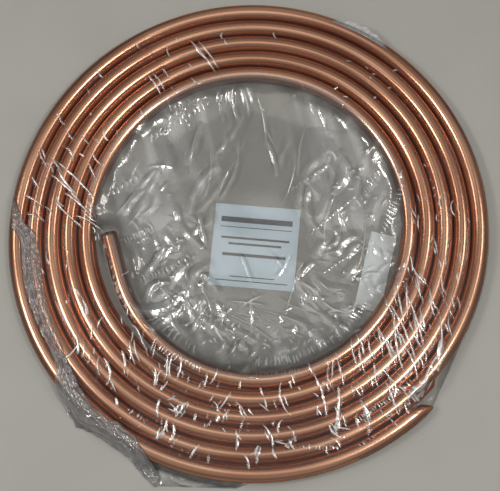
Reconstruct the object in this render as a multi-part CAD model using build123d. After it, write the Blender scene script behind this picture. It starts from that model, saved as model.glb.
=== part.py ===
from build123d import *
import os
from math import asin, atan2, cos, degrees, radians, sin, sqrt, tan

os.makedirs("parts", exist_ok=True)

# Soft copper tube wound as one flat spiral layer, lying in a closed bag of clear film with its label.
# Millimetres, +Z up. The origin is the winding centre, on the floor under the bag.

# The tube: 3/4 inch outside, 0.035 inch wall, one end drawn closed and the other cut square
TUBE_OUTSIDE = 19.05
TUBE_WALL = 0.89
BORE_DEPTH = 45.0
NOSE_LENGTH = 26.0
NOSE_TIP = 3.0

# The winding: half turns of growing radius, which meet on one line through the centre
FIRST_RADIUS = 180.0
TURN_AIR = 1.23
JOINT_ANGLE = 300.0
HALF_TURNS = 10
LAST_SWEEP = 10.5

# The tail: it bends tighter than the first turn by this much, and springs inwards from it
TAIL_SPRING = 14.2
TAIL_SWEEP = 102.4
TAIL_STRAIGHT = 51.4

# The film bag: it hugs the turns, falls from the innermost one and then runs out to the floor of the eye
FILM = 0.3
CLEARANCE = 0.15
DISH_SLOPE = 38.0
DISH_BREAK = 8.0
FOOT_SLOPE = 14.0
END_LEAD = 4.0
NOSE_ROUND = 7.0

# The bag's open side, as points of (angle, distance outside the outermost centreline)
APRON_EDGE = [(222, -5), (230, 23.5), (239, 16.5), (245.5, 20.5), (251.7, 34), (268.3, 17.5), (278.5, -7)]
APRON_THICKNESS = 1.2
APRON_ROUND = 12.0
HEM_INNER = [(250, 13), (240, -6), (225, -10), (205, -25), (188, -28), (180, -7)]
HEM_OUTER = [(177, 6.5), (188, -5), (208, -7), (221, 4), (231, 23), (241, 17.5), (251, 33)]
HEM_THICKNESS = 2.2
HEM_LAP = 45.0
HEM_REACH = 38.0

# The papers between the two sheets of the bag, in the eye of the coil
PAPER = 0.3
LABEL_SIZE = (100.0, 98.5)
LABEL_CENTRE = (3.8, -22.4)
LABEL_TURN = -3.4
SLIP_SIZE = (30.0, 92.0)
SLIP_ANGLE = -18.4
SLIP_FROM_TURN = 30.0
SLIP_TURN = -12.3

# Worked out from the sizes above
TUBE_RADIUS = TUBE_OUTSIDE / 2
PITCH = TUBE_OUTSIDE + TURN_AIR
TAIL_RADIUS = FIRST_RADIUS - TAIL_SPRING
SEAT = FILM + CLEARANCE
HUG_RADIUS = TUBE_RADIUS + SEAT
POUCH_HEIGHT = 2 * SEAT + PAPER
LAST_ANGLE = JOINT_ANGLE + 180 * HALF_TURNS + LAST_SWEEP
NOSE_DRAW = TUBE_RADIUS - NOSE_TIP / 2
NOSE_ARC = (NOSE_DRAW**2 + NOSE_LENGTH**2) / (2 * NOSE_DRAW)
NOSE_SWEEP = degrees(asin(NOSE_LENGTH / NOSE_ARC))


def ray(angle):
    """Unit vector in the plan at an angle from +X."""
    return Vector(cos(radians(angle)), sin(radians(angle)), 0)


def half_turn(index):
    """Centre and radius of one half turn of the winding, counted from the eye outwards."""
    side = 1 if index % 2 else -1
    return ray(JOINT_ANGLE) * (side * PITCH / 4), FIRST_RADIUS + PITCH / 4 + index * PITCH / 2


def centreline_radius(angle):
    """Distance of the tube's axis from the winding centre, at an angle counted through all turns."""
    return FIRST_RADIUS + PITCH * (angle - JOINT_ANGLE) / 360


def tail_centre():
    """Centre of the tighter bend that the tube makes inside the first turn."""
    return ray(JOINT_ANGLE) * (FIRST_RADIUS - TAIL_RADIUS)


def cut_corner():
    """The corner of the cut end nearest the eye, in the plan."""
    start = JOINT_ANGLE - TAIL_SWEEP
    return tail_centre() + ray(start) * (TAIL_RADIUS - TUBE_RADIUS) - ray(start + 90) * TAIL_STRAIGHT


def across(centre, radius, angle):
    """Plane across the tube where a bend passes an angle: x outwards, z along the winding."""
    return Plane(origin=centre + ray(angle) * radius + Vector(0, 0, HUG_RADIUS),
                 x_dir=ray(angle), z_dir=ray(angle + 90))


def bend(centre, radius, start, arc):
    """One bend of the tube, turned about its own upright axis."""
    return revolve(across(centre, radius, start) * Circle(TUBE_RADIUS), Axis(centre, (0, 0, 1)), arc)


def nose(end):
    """The outer end of the tube, drawn in to a small closed nose."""
    taper = CenterArc((TUBE_RADIUS - NOSE_ARC, 0), NOSE_ARC, 0, NOSE_SWEEP)
    rest = Polyline(taper @ 1, (0, NOSE_LENGTH), (0, 0), (TUBE_RADIUS, 0))
    return end * revolve(Plane.XZ * make_face([taper, *rest.edges()]), Axis.Z)


def copper_tube():
    """The whole tube: tail, half turns and nose, hollow where its cut end lies open."""
    tail_start = JOINT_ANGLE - TAIL_SWEEP
    tail_end = across(tail_centre(), TAIL_RADIUS, tail_start)
    mouth = tail_end.offset(-TAIL_STRAIGHT)
    tube = extrude(mouth * Circle(TUBE_RADIUS), TAIL_STRAIGHT)
    tube += bend(tail_centre(), TAIL_RADIUS, tail_start, TAIL_SWEEP)
    for index in range(HALF_TURNS):
        tube += bend(*half_turn(index), JOINT_ANGLE + 180 * index, 180)
    tube += bend(*half_turn(HALF_TURNS), LAST_ANGLE - LAST_SWEEP, LAST_SWEEP)
    tube += nose(across(*half_turn(HALF_TURNS), LAST_ANGLE))
    return tube - extrude(mouth * Circle(TUBE_RADIUS - TUBE_WALL), BORE_DEPTH)


def bag_outline(inset):
    """Plan of the film drawn tight round the outermost turn and the nose, at an inset from its outer face."""
    reach = HUG_RADIUS - inset
    arcs = []
    for index in (HALF_TURNS - 2, HALF_TURNS - 1):
        centre, radius = half_turn(index)
        arcs.append(CenterArc(centre, radius + reach, JOINT_ANGLE + 180 * index, 180))
    centre, radius = half_turn(HALF_TURNS)
    arcs.append(CenterArc(centre, radius + reach, LAST_ANGLE - LAST_SWEEP, LAST_SWEEP))
    side = centre + ray(LAST_ANGLE) * (radius + TUBE_RADIUS - NOSE_ARC)
    arcs.append(CenterArc(side, NOSE_ARC + SEAT - inset, LAST_ANGLE, NOSE_SWEEP))
    tip = centre + ray(LAST_ANGLE) * radius + ray(LAST_ANGLE + 90) * (NOSE_LENGTH + NOSE_TIP / 2 - NOSE_ROUND)
    arcs.append(CenterArc(tip, NOSE_ROUND + SEAT - inset, 0, 360))
    return make_hull(arcs)


def hollow(centre, radius, start, arc, inset):
    """The hollow that the film leaves inside one bend of the tube, turned about that bend's axis."""
    rim = radius - HUG_RADIUS * tan(radians(DISH_SLOPE / 2))
    fall = rim - (2 * HUG_RADIUS - DISH_BREAK) / tan(radians(DISH_SLOPE))
    foot = fall - (DISH_BREAK - POUCH_HEIGHT) / tan(radians(FOOT_SLOPE))
    corners = [(foot, POUCH_HEIGHT, FOOT_SLOPE), (fall, DISH_BREAK, DISH_SLOPE), (rim, 2 * HUG_RADIUS, DISH_SLOPE)]
    side = [(x + inset * tan(radians(slope / 2)), z - inset) for x, z, slope in corners]
    section = Polyline((0, side[0][1]), *side, (0, side[-1][1]), close=True)
    upright = Plane(origin=centre, x_dir=ray(start), z_dir=ray(start - 90))
    return revolve(upright * make_face(section), Axis(centre, (0, 0, 1)), arc)


def dish(inset):
    """The whole hollow in the eye: along the first turn up to the cut end, and along the tail."""
    centre, radius = half_turn(1)
    towards_end = cut_corner() - centre
    sweep = (degrees(atan2(towards_end.Y, towards_end.X)) - JOINT_ANGLE - 180) % 360
    sweep -= degrees((END_LEAD - inset) / TAIL_RADIUS)
    space = hollow(*half_turn(0), JOINT_ANGLE, 180, inset)
    space += hollow(centre, radius, JOINT_ANGLE + 180, sweep, inset)
    return space + hollow(tail_centre(), TAIL_RADIUS, JOINT_ANGLE - 180, 180, inset)


def bag_space(inset):
    """The space within the film at an inset from its outer face: a slab round the turns, dished in the eye."""
    reach = HUG_RADIUS - inset
    slab = Pos(0, 0, inset) * extrude(bag_outline(inset), 2 * reach)
    rims = slab.faces().filter_by(Axis.Z).edges()
    return chamfer(rims, (2 - sqrt(2)) * reach) - dish(inset)


def beside_turn(points):
    """Plan points from angles and distances outside the outermost centreline."""
    laps = LAST_ANGLE - LAST_ANGLE % 360
    return [ray(angle) * (centreline_radius(angle + laps) + reach) for angle, reach in points]


def apron():
    """Spare film lying flat on the floor outside the lower left of the coil."""
    edge = FilletPolyline(*beside_turn(APRON_EDGE), radius=APRON_ROUND, close=True)
    return extrude(make_face(edge), APRON_THICKNESS)


def hem():
    """The gathered open side of the bag, over the shoulder of the outermost turn and down to the floor."""
    inner = Spline(*beside_turn(HEM_INNER))
    outer = Spline(*beside_turn(HEM_OUTER))
    band = make_face([inner, Line(inner @ 1, outer @ 0), outer, Line(outer @ 1, inner @ 0)])
    crest = centreline_radius(LAST_ANGLE - 90)
    top = 2 * HUG_RADIUS + HEM_THICKNESS
    edge = Polyline((crest - HEM_LAP, top - HEM_THICKNESS - FILM), (crest - HEM_LAP, top), (crest, top),
                    (crest + HUG_RADIUS + HEM_THICKNESS, HUG_RADIUS), (crest + HEM_REACH, HEM_THICKNESS),
                    (crest + HEM_REACH, 0), (crest, 0), (crest, top - HEM_THICKNESS - FILM), close=True)
    drape = revolve(Plane.XZ * make_face(edge), Axis.Z)
    return drape & extrude(band, top)


def film_bag():
    """The whole bag: a thin closed skin round the coil and the papers, with its apron and hem."""
    return bag_space(0) + apron() + hem() - bag_space(FILM)


def paper(size, centre, turn):
    """A sheet of paper lying on the bag's lower film."""
    return Pos(centre[0], centre[1], SEAT) * Rot(0, 0, turn) * Box(
        *size, PAPER, align=(Align.CENTER, Align.CENTER, Align.MIN))


def paper_slip():
    """The narrow slip that rests against the first turn."""
    reach = centreline_radius(SLIP_ANGLE + 360) - SLIP_FROM_TURN
    return paper(SLIP_SIZE, tuple(ray(SLIP_ANGLE) * reach), SLIP_TURN)


export_step(copper_tube(), "parts/copper_tube.step")
export_step(film_bag(), "parts/film_bag.step")
export_step(paper(LABEL_SIZE, LABEL_CENTRE, LABEL_TURN), "parts/label_card.step")
export_step(paper_slip(), "parts/paper_slip.step")
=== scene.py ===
"""Coil of soft copper tube in a bag of clear film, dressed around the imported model.

Lengths are in millimetres until a mesh is finished, and angles are in degrees from +X. The row frame is
used throughout: +Z up, with the origin at the winding centre on the floor.
"""
import logging
import math
from dataclasses import dataclass, field
from enum import Enum
from typing import Callable

import bmesh
import bpy
import numpy as np
from mathutils import Matrix, Vector


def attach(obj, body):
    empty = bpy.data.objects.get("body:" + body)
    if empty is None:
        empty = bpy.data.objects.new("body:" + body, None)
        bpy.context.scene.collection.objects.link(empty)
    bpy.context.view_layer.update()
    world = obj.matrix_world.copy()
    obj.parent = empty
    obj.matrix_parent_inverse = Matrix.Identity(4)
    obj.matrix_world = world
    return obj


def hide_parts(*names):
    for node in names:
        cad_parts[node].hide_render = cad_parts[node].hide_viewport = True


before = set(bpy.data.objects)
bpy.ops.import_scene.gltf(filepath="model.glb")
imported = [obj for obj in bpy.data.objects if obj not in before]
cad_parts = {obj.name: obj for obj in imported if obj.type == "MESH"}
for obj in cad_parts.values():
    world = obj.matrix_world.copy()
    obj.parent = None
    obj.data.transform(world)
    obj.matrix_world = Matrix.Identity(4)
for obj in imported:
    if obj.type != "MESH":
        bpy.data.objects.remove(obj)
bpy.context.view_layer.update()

log = logging.getLogger("coil")

MM = 0.001
HALF_TURN = 180.0
FULL_TURN = 360.0
# Plan angle at which the half turns meet, and from which the rings of film are counted
SEAM = 300.0
# How near the two ends of a ring of film have to be to be joined
RING_GAP = 0.02


# Helpers for meshes and fields


def ray(angle: float) -> Vector:
    """Unit vector in the plan at an angle in degrees."""
    return Vector((math.cos(math.radians(angle)), math.sin(math.radians(angle)), 0.0))


def plan(angle: np.ndarray, radius: np.ndarray) -> tuple[np.ndarray, np.ndarray]:
    """Plan coordinates x and y of points given by their angles and distances."""
    turn = np.radians(angle)
    return radius * np.cos(turn), radius * np.sin(turn)


def share_round(angle: np.ndarray) -> np.ndarray:
    """How far round from the seam an angle is, as a share of a full turn."""
    return (angle - SEAM) / FULL_TURN


def between(start: np.ndarray, end: np.ndarray, share: np.ndarray) -> np.ndarray:
    """Value at a share of the way from a start to an end."""
    return start + (end - start) * share


def interpolated(angle: np.ndarray, points: tuple[tuple[float, float], ...]) -> np.ndarray:
    """Value at each angle, on straight lines between points of angle and value."""
    return np.interp(angle, *zip(*points))


def smoothstep(low: float, high: float, value: np.ndarray) -> np.ndarray:
    """Smooth rise from 0 at low to 1 at high."""
    t = np.clip((value - low) / (high - low), 0.0, 1.0)
    return t * t * (3.0 - 2.0 * t)


class Noise:
    """Smooth gradient noise on a plane, the same on every run."""

    CELLS = 256

    def __init__(self, seed: int) -> None:
        """Draws one gradient for each lattice point.

        Args:
            seed: the number that fixes the pattern.
        """
        turn = np.random.default_rng(seed).uniform(0.0, 2.0 * np.pi, (self.CELLS, self.CELLS))
        self.gradient = np.stack([np.cos(turn), np.sin(turn)], -1)

    def __call__(self, x: np.ndarray, y: np.ndarray, period: int = CELLS) -> np.ndarray:
        """Noise from about -1 to 1.

        Args:
            x: coordinates in lattice cells, which repeat after a period.
            y: coordinates in lattice cells.
            period: how many cells x takes to repeat.

        Returns:
            One value for each point.
        """
        ix, iy = np.floor(x).astype(int), np.floor(y).astype(int)
        fx, fy = x - ix, y - iy
        ux, uy = fx**3 * (fx * (fx * 6 - 15) + 10), fy**3 * (fy * (fy * 6 - 15) + 10)

        def corner(dx: int, dy: int) -> np.ndarray:
            """Slope of one lattice point, taken to the points asked for."""
            g = self.gradient[np.mod(ix + dx, period) % self.CELLS, (iy + dy) % self.CELLS]
            return g[..., 0] * (fx - dx) + g[..., 1] * (fy - dy)

        low = corner(0, 0) * (1 - ux) + corner(1, 0) * ux
        high = corner(0, 1) * (1 - ux) + corner(1, 1) * ux
        return 1.5 * (low * (1 - uy) + high * uy)


def ridges(noise: np.ndarray, sharpness: float) -> np.ndarray:
    """Narrow crests, from 0 to 1, along the lines where a noise crosses zero."""
    return np.exp(-np.abs(noise) * sharpness)


def finish_mesh(bm: bmesh.types.BMesh, name: str, smooth: bool = True) -> bpy.types.Object:
    """Turns a bmesh in millimetres into an object at the origin, in metres.

    Args:
        bm: the mesh, which is freed.
        name: the piece's name.
        smooth: whether its faces are shaded smooth.

    Returns:
        The new object, linked to the scene.
    """
    bmesh.ops.transform(bm, matrix=Matrix.Scale(MM, 4), space=Matrix.Identity(4), verts=bm.verts)
    for face in bm.faces:
        face.smooth = smooth
    mesh = bpy.data.meshes.new(name)
    bm.to_mesh(mesh)
    bm.free()
    piece = bpy.data.objects.new(name, mesh)
    bpy.context.scene.collection.objects.link(piece)
    return piece


def sheet_grid(name: str, across: int, along: int, place: Callable[[np.ndarray, np.ndarray], tuple],
               joined: bool = False) -> bpy.types.Object:
    """Makes a sheet from a flat grid whose points are then moved into place.

    Args:
        name: the piece's name.
        across: cells from one side to the other.
        along: cells along the sheet.
        place: gives x, y, z in millimetres and the milkiness for grid coordinates u and v from 0 to 1.
        joined: whether the first and last rows meet, as on a ring.

    Returns:
        The sheet, with its milkiness in a vertex attribute.
    """
    bm = bmesh.new()
    bmesh.ops.create_grid(bm, x_segments=across, y_segments=along, size=0.5)
    piece = finish_mesh(bm, name)
    mesh = piece.data
    flat = np.empty(len(mesh.vertices) * 3)
    mesh.vertices.foreach_get("co", flat)
    flat = flat.reshape(-1, 3) / MM + 0.5
    x, y, z, milk = place(np.clip(flat[:, 0], 0.0, 1.0), np.clip(flat[:, 1], 0.0, 1.0))
    mesh.vertices.foreach_set("co", (np.stack([x, y, z], -1) * MM).ravel())
    pale = mesh.attributes.new("milk", "FLOAT", "POINT")
    pale.data.foreach_set("value", np.clip(milk, 0.0, 1.0) + np.zeros_like(x))
    if joined:
        bm = bmesh.new()
        bm.from_mesh(mesh)
        bmesh.ops.remove_doubles(bm, verts=[v for v in bm.verts if v.is_boundary], dist=RING_GAP * MM)
        bm.to_mesh(mesh)
        bm.free()
    mesh.update()
    return piece


def disc(u: np.ndarray, v: np.ndarray) -> tuple[np.ndarray, np.ndarray]:
    """Bends a square grid into a round disc.

    Args:
        u: grid coordinate from 0 to 1.
        v: grid coordinate from 0 to 1.

    Returns:
        Angle in degrees, from the seam up, and share of the disc's radius.
    """
    a, b = 2.0 * u - 1.0, 2.0 * v - 1.0
    wide = np.abs(a) >= np.abs(b)
    major, minor = np.where(wide, a, b), np.where(wide, b, a)
    lean = np.divide(minor, major, out=np.zeros_like(minor), where=np.abs(major) > 1e-9) * np.pi / 4.0
    x = major * np.where(wide, np.cos(lean), np.sin(lean))
    y = major * np.where(wide, np.sin(lean), np.cos(lean))
    return (np.degrees(np.arctan2(y, x)) - SEAM) % FULL_TURN + SEAM, np.hypot(x, y)


def chord(angle: np.ndarray, start: tuple[float, float], end: tuple[float, float]) -> np.ndarray:
    """Distance from the origin to a straight line, along each ray.

    Args:
        angle: plan angles.
        start: angle and distance of one point of the line.
        end: angle and distance of another.

    Returns:
        The distances.
    """
    a, a1, a2 = np.radians(angle), math.radians(start[0]), math.radians(end[0])
    below = start[1] * np.sin(a - a1) + end[1] * np.sin(a2 - a)
    return start[1] * end[1] * math.sin(a2 - a1) / np.where(np.abs(below) < 1e-6, 1e-6, below)


def polygon_edge(angle: np.ndarray, points: tuple[tuple[float, float], ...]) -> np.ndarray:
    """Distance from the origin to a run of straight lines, along each ray.

    Args:
        angle: plan angles.
        points: angle and distance of each corner, in order.

    Returns:
        The distances, held at those of the end corners beyond them.
    """
    reach = np.full_like(angle, points[0][1])
    for start, end in zip(points, points[1:]):
        reach = np.where((angle >= start[0]) & (angle <= end[0]), chord(angle, start, end), reach)
    return np.where(angle > points[-1][0], points[-1][1], reach)


# The winding


@dataclass(frozen=True)
class Winding:
    """The flat spiral that the tube follows: half turns of growing radius, with a tail sprung inwards."""

    tube_radius: float = 9.525
    axis_height: float = 9.975
    pitch: float = 20.28
    first_radius: float = 180.0
    joint_angle: float = SEAM
    half_turns: int = 10
    last_sweep: float = 10.5
    tail_radius: float = 165.8
    tail_sweep: float = 102.4
    tail_straight: float = 51.4
    nose_length: float = 26.0
    nose_tip: float = 3.0
    # How far the nose's axis leans outwards, as a share of what its radius is drawn in
    nose_lean: float = 0.8

    @property
    def whole_turns(self) -> int:
        """How many times the tube goes all the way round."""
        return self.half_turns // 2

    @property
    def last_angle(self) -> float:
        """Angle, counted through all turns, at which the round tube ends and its nose begins."""
        return self.joint_angle + HALF_TURN * self.half_turns + self.last_sweep

    @property
    def tail_centre(self) -> Vector:
        """Centre of the tail's bend, in the plan."""
        return ray(self.joint_angle) * (self.first_radius - self.tail_radius)

    @property
    def tail_start(self) -> float:
        """Angle about the tail's centre at which its straight piece ends."""
        return self.joint_angle - self.tail_sweep

    @property
    def mouth(self) -> Vector:
        """Centre of the cut end."""
        start = self.tail_centre + ray(self.tail_start) * self.tail_radius
        return start - ray(self.tail_start + 90.0) * self.tail_straight + Vector((0, 0, self.axis_height))

    @property
    def nose_arc(self) -> float:
        """Radius of the curve that draws the outer end in to its nose."""
        draw = self.tube_radius - self.nose_tip / 2.0
        return (draw**2 + self.nose_length**2) / (2.0 * draw)

    def half_turn(self, index: int) -> tuple[Vector, float]:
        """One half turn of the winding.

        Args:
            index: its number, counted from the eye outwards.

        Returns:
            Its centre in the plan, and its radius to the tube's axis.
        """
        side = 1.0 if index % 2 else -1.0
        centre = ray(self.joint_angle) * (side * self.pitch / 4.0)
        return centre, self.first_radius + self.pitch / 4.0 + index * self.pitch / 2.0

    def nose_radius(self, along: np.ndarray) -> np.ndarray:
        """Radius of the nose at a distance past the round tube."""
        reach = np.clip(along, 0.0, self.nose_length)
        return np.sqrt(self.nose_arc**2 - reach**2) - (self.nose_arc - self.tube_radius)

    def turn_radius(self, angle: np.ndarray, lap: int) -> np.ndarray:
        """Distance of a turn's axis from the centre.

        Args:
            angle: plan angle from the seam up to a full turn more.
            lap: which time round, from 0.

        Returns:
            The radius on each ray.
        """
        return self.first_radius + self.pitch * ((angle - self.joint_angle) / FULL_TURN + lap)

    def outer_turn(self, angle: np.ndarray) -> np.ndarray:
        """Distance of the outermost whole turn's axis from the centre."""
        return self.turn_radius(angle, self.whole_turns - 1)

    def tail_axis(self, angle: np.ndarray) -> np.ndarray:
        """Distance of the tail's axis from the winding centre.

        Args:
            angle: plan angle from the seam up to a full turn more.

        Returns:
            The distance along each ray, on the bend or on the straight piece after it.
        """
        turn = np.radians(angle)
        centre = self.tail_centre
        ahead = centre.x * np.cos(turn) + centre.y * np.sin(turn)
        beside = centre.x * np.sin(turn) - centre.y * np.cos(turn)
        bent = ahead + np.sqrt(self.tail_radius**2 - beside**2)
        start = self.tail_start + FULL_TURN
        flat = (centre.dot(ray(start)) + self.tail_radius) / np.cos(np.radians(angle - start))
        return np.where(angle < self.straight_ends, flat, bent)

    @property
    def straight_ends(self) -> float:
        """Plan angle at which the tail's straight piece meets its bend."""
        start = self.tail_centre + ray(self.tail_start) * self.tail_radius
        return math.degrees(math.atan2(start.y, start.x)) % FULL_TURN + FULL_TURN

    @property
    def mouth_angle(self) -> float:
        """Plan angle of the cut end."""
        return math.degrees(math.atan2(self.mouth.y, self.mouth.x)) % FULL_TURN + FULL_TURN


# Materials


class Nodes:
    """Builds one node material, a node at a time."""

    def __init__(self, name: str) -> None:
        """Starts an empty material.

        Args:
            name: the material's name.
        """
        self.material = bpy.data.materials.new(name)
        self.material.use_nodes = True
        self.tree = self.material.node_tree
        self.tree.nodes.clear()
        self.output = self.add("ShaderNodeOutputMaterial")

    def add(self, kind: str, inputs: dict | None = None, **settings: object) -> bpy.types.Node:
        """Adds a node.

        Args:
            kind: the node's type name.
            inputs: values or other nodes' sockets for its inputs, by socket name or number.
            settings: the node's own settings.

        Returns:
            The node.
        """
        node = self.tree.nodes.new(kind)
        for key, value in settings.items():
            setattr(node, key, value)
        for key, value in (inputs or {}).items():
            if isinstance(value, bpy.types.NodeSocket):
                self.tree.links.new(value, node.inputs[key])
            else:
                node.inputs[key].default_value = value
        return node

    def math(self, operation: str, first: object, second: object = 0.0,
             clamp: bool = False) -> bpy.types.NodeSocket:
        """Joins two values by a Math operation."""
        node = self.add("ShaderNodeMath", {0: first, 1: second}, operation=operation, use_clamp=clamp)
        return node.outputs[0]

    def weighted(self, first: object, weight: float, second: object, other: float) -> bpy.types.NodeSocket:
        """Sum of two values, each times a weight."""
        return self.math("ADD", self.math("MULTIPLY", first, weight), self.math("MULTIPLY", second, other))

    def noise(self, vector: object, scale: float, detail: float = 3.0,
              roughness: float = 0.5) -> bpy.types.NodeSocket:
        """Noise from 0 to 1 at a number of features to the coordinate's unit."""
        inputs = {"Vector": vector, "Scale": scale, "Detail": detail, "Roughness": roughness}
        return self.add("ShaderNodeTexNoise", inputs).outputs["Fac"]

    def ramp(self, value: object, low: float, high: float, start: float = 0.0,
             end: float = 1.0) -> bpy.types.NodeSocket:
        """Maps low..high to start..end, smoothly and held at both ends."""
        inputs = {"Value": value, "From Min": low, "From Max": high, "To Min": start, "To Max": end}
        return self.add("ShaderNodeMapRange", inputs, interpolation_type="SMOOTHSTEP").outputs["Result"]

    def mix(self, factor: object, first: object, second: object) -> bpy.types.NodeSocket:
        """Mixes two colours.

        Args:
            factor: share of the second colour.
            first: the first colour, as three numbers or a socket.
            second: the second colour, in the same way.

        Returns:
            The mixed colour.
        """
        node = self.add("ShaderNodeMix", data_type="RGBA")
        for socket, value in ((node.inputs[0], factor), (node.inputs[6], first), (node.inputs[7], second)):
            if isinstance(value, bpy.types.NodeSocket):
                self.tree.links.new(value, socket)
            else:
                socket.default_value = value if isinstance(value, float) else (*value, 1.0)
        return node.outputs[2]

    def stretched(self, vector: object, scale: tuple[float, float, float]) -> bpy.types.NodeSocket:
        """A coordinate scaled by a different amount each way."""
        return self.add("ShaderNodeMapping", {"Vector": vector, "Scale": scale}).outputs[0]

    def bump(self, height: object, strength: float, distance: float) -> bpy.types.NodeSocket:
        """A bumped normal from a height, with the distance in metres."""
        inputs = {"Height": height, "Strength": strength, "Distance": distance}
        return self.add("ShaderNodeBump", inputs).outputs[0]

    def coordinate(self) -> bpy.types.NodeSocket:
        """The piece's own Object coordinate."""
        return self.add("ShaderNodeTexCoord").outputs["Object"]

    def clear(self, tint: tuple[float, float, float]) -> bpy.types.NodeSocket:
        """A shader that lets light straight through, with a tint."""
        return self.add("ShaderNodeBsdfTransparent", {"Color": (*tint, 1.0)}).outputs[0]

    def attribute(self, name: str, output: str = "Fac") -> bpy.types.NodeSocket:
        """A vertex attribute of the piece."""
        return self.add("ShaderNodeAttribute", attribute_name=name).outputs[output]

    def done(self, shader: object) -> bpy.types.Material:
        """Puts a shader on the material's surface and returns the material."""
        self.tree.links.new(shader, self.output.inputs["Surface"])
        return self.material


@dataclass(frozen=True)
class CopperFinish:
    """Bright soft-drawn copper, with draw lines along it and faint stains, and painted shade darkening it low
    on each turn.
    """

    bright: tuple[float, float, float] = (0.67, 0.365, 0.238)
    stained: tuple[float, float, float] = (0.46, 0.225, 0.14)
    painted_low_shade: tuple[float, float, float] = (0.25, 0.10, 0.065)
    roughness: tuple[float, float] = (0.17, 0.27)
    edge_tint: tuple[float, float, float] = (0.80, 0.48, 0.34)
    # Features to the metre along the tube, outwards and up, of the draw lines, the stains and the scuffs
    line_scale: tuple[float, float, float] = (3.0, 420.0, 420.0)
    stain_scale: tuple[float, float, float] = (6.0, 60.0, 60.0)
    scuff_scale: tuple[float, float, float] = (10.0, 300.0, 300.0)
    # Heights in metres between which the flanks pass from painted shade to their full colour, and from dull
    # to bright
    shade_heights: tuple[float, float] = (0.006, 0.0168)
    polished: tuple[float, float] = (0.010, 0.0178)
    flank_dullness: float = 3.0

    def build(self) -> bpy.types.Material:
        """Makes the material, which reads the straightened tube's coordinate.

        Returns:
            The material.
        """
        n = Nodes("soft_drawn_copper")
        along = n.attribute("straightened", "Vector")
        lines = n.noise(n.stretched(along, self.line_scale), 1.0, 4.0, 0.6)
        stains = n.noise(n.stretched(along, self.stain_scale), 1.0, 2.0, 0.5)
        scuffs = n.noise(n.stretched(along, self.scuff_scale), 1.0, 2.0, 0.5)
        tone = n.ramp(n.weighted(stains, 0.7, lines, 0.3), 0.38, 0.62)
        height = n.add("ShaderNodeSeparateXYZ", {0: along}).outputs["Z"]
        # Painted shade: the colour darkens low on each turn, where shade falls between and under the turns
        colour = n.mix(n.ramp(height, *self.shade_heights), self.painted_low_shade, n.mix(tone, self.stained, self.bright))
        gloss = n.ramp(n.weighted(scuffs, 0.5, lines, 0.5), 0.35, 0.65, *self.roughness)
        gloss = n.math("MULTIPLY", gloss, n.ramp(height, *self.polished, self.flank_dullness, 1.0))
        shader = n.add("ShaderNodeBsdfPrincipled", {
            "Base Color": colour, "Metallic": 1.0, "Roughness": gloss,
            "Specular Tint": (*self.edge_tint, 1.0), "Normal": n.bump(lines, 0.15, 0.0002)})
        return n.done(shader.outputs[0])


@dataclass(frozen=True)
class FilmFinish:
    """Thin clear film: it mirrors the lamps on its creases, and turns milky where it is gathered; the milk on
    creases and in the eye's bands is partly painted glint and sheen.
    """

    index: float = 1.5
    # How much the film mirrors: its sharp reflection, its soft sheen, and what milky creases add to both
    gain: float = 2.4
    roughness: float = 0.15
    sheen_gain: float = 1.3
    sheen_roughness: float = 0.38
    crease_gain: float = 9.0
    # Milkiness of plain film
    haze: float = 0.003
    tint: tuple[float, float, float] = (0.905, 0.908, 0.90)
    milk_colour: tuple[float, float, float] = (0.80, 0.82, 0.83)
    crinkle: float = 0.0004
    # Features to the metre of the fine unevenness and of the sharp crinkles
    fine_scale: float = 210.0
    sharp_scale: float = 120.0

    def build(self, name: str) -> bpy.types.Material:
        """Makes the material, which reads the sheet's milk attribute.

        Args:
            name: the material's name.

        Returns:
            The material.
        """
        n = Nodes(name)
        place = n.coordinate()
        fine = n.noise(place, self.fine_scale, 2.0, 0.5)
        sharp = n.math("ABSOLUTE", n.math("SUBTRACT", n.noise(place, self.sharp_scale, 3.0, 0.55), 0.5))
        normal = n.bump(n.weighted(fine, 0.35, sharp, -1.6), 0.5, self.crinkle)
        mirror = n.add("ShaderNodeFresnel", {"IOR": self.index, "Normal": normal}).outputs[0]
        milk = n.math("ADD", n.attribute("milk"), self.haze, clamp=True)
        white = (*self.milk_colour, 1.0)
        body = n.add("ShaderNodeBsdfDiffuse", {"Color": white, "Normal": normal}).outputs[0]
        glow = n.add("ShaderNodeBsdfTranslucent", {"Color": white, "Normal": normal}).outputs[0]
        cloud = n.add("ShaderNodeMixShader", {0: 0.5, 1: body, 2: glow}).outputs[0]
        skin = n.add("ShaderNodeMixShader", {0: milk, 1: n.clear(self.tint), 2: cloud}).outputs[0]
        extra = n.math("MULTIPLY", milk, self.crease_gain)
        for gain, roughness in ((self.sheen_gain, self.sheen_roughness), (self.gain, self.roughness)):
            share = n.math("MULTIPLY", mirror, n.math("ADD", extra, gain), clamp=True)
            gloss = n.add("ShaderNodeBsdfGlossy", {"Roughness": roughness, "Normal": normal}).outputs[0]
            skin = n.add("ShaderNodeMixShader", {0: share, 1: skin, 2: gloss}).outputs[0]
        return n.done(skin)


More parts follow.
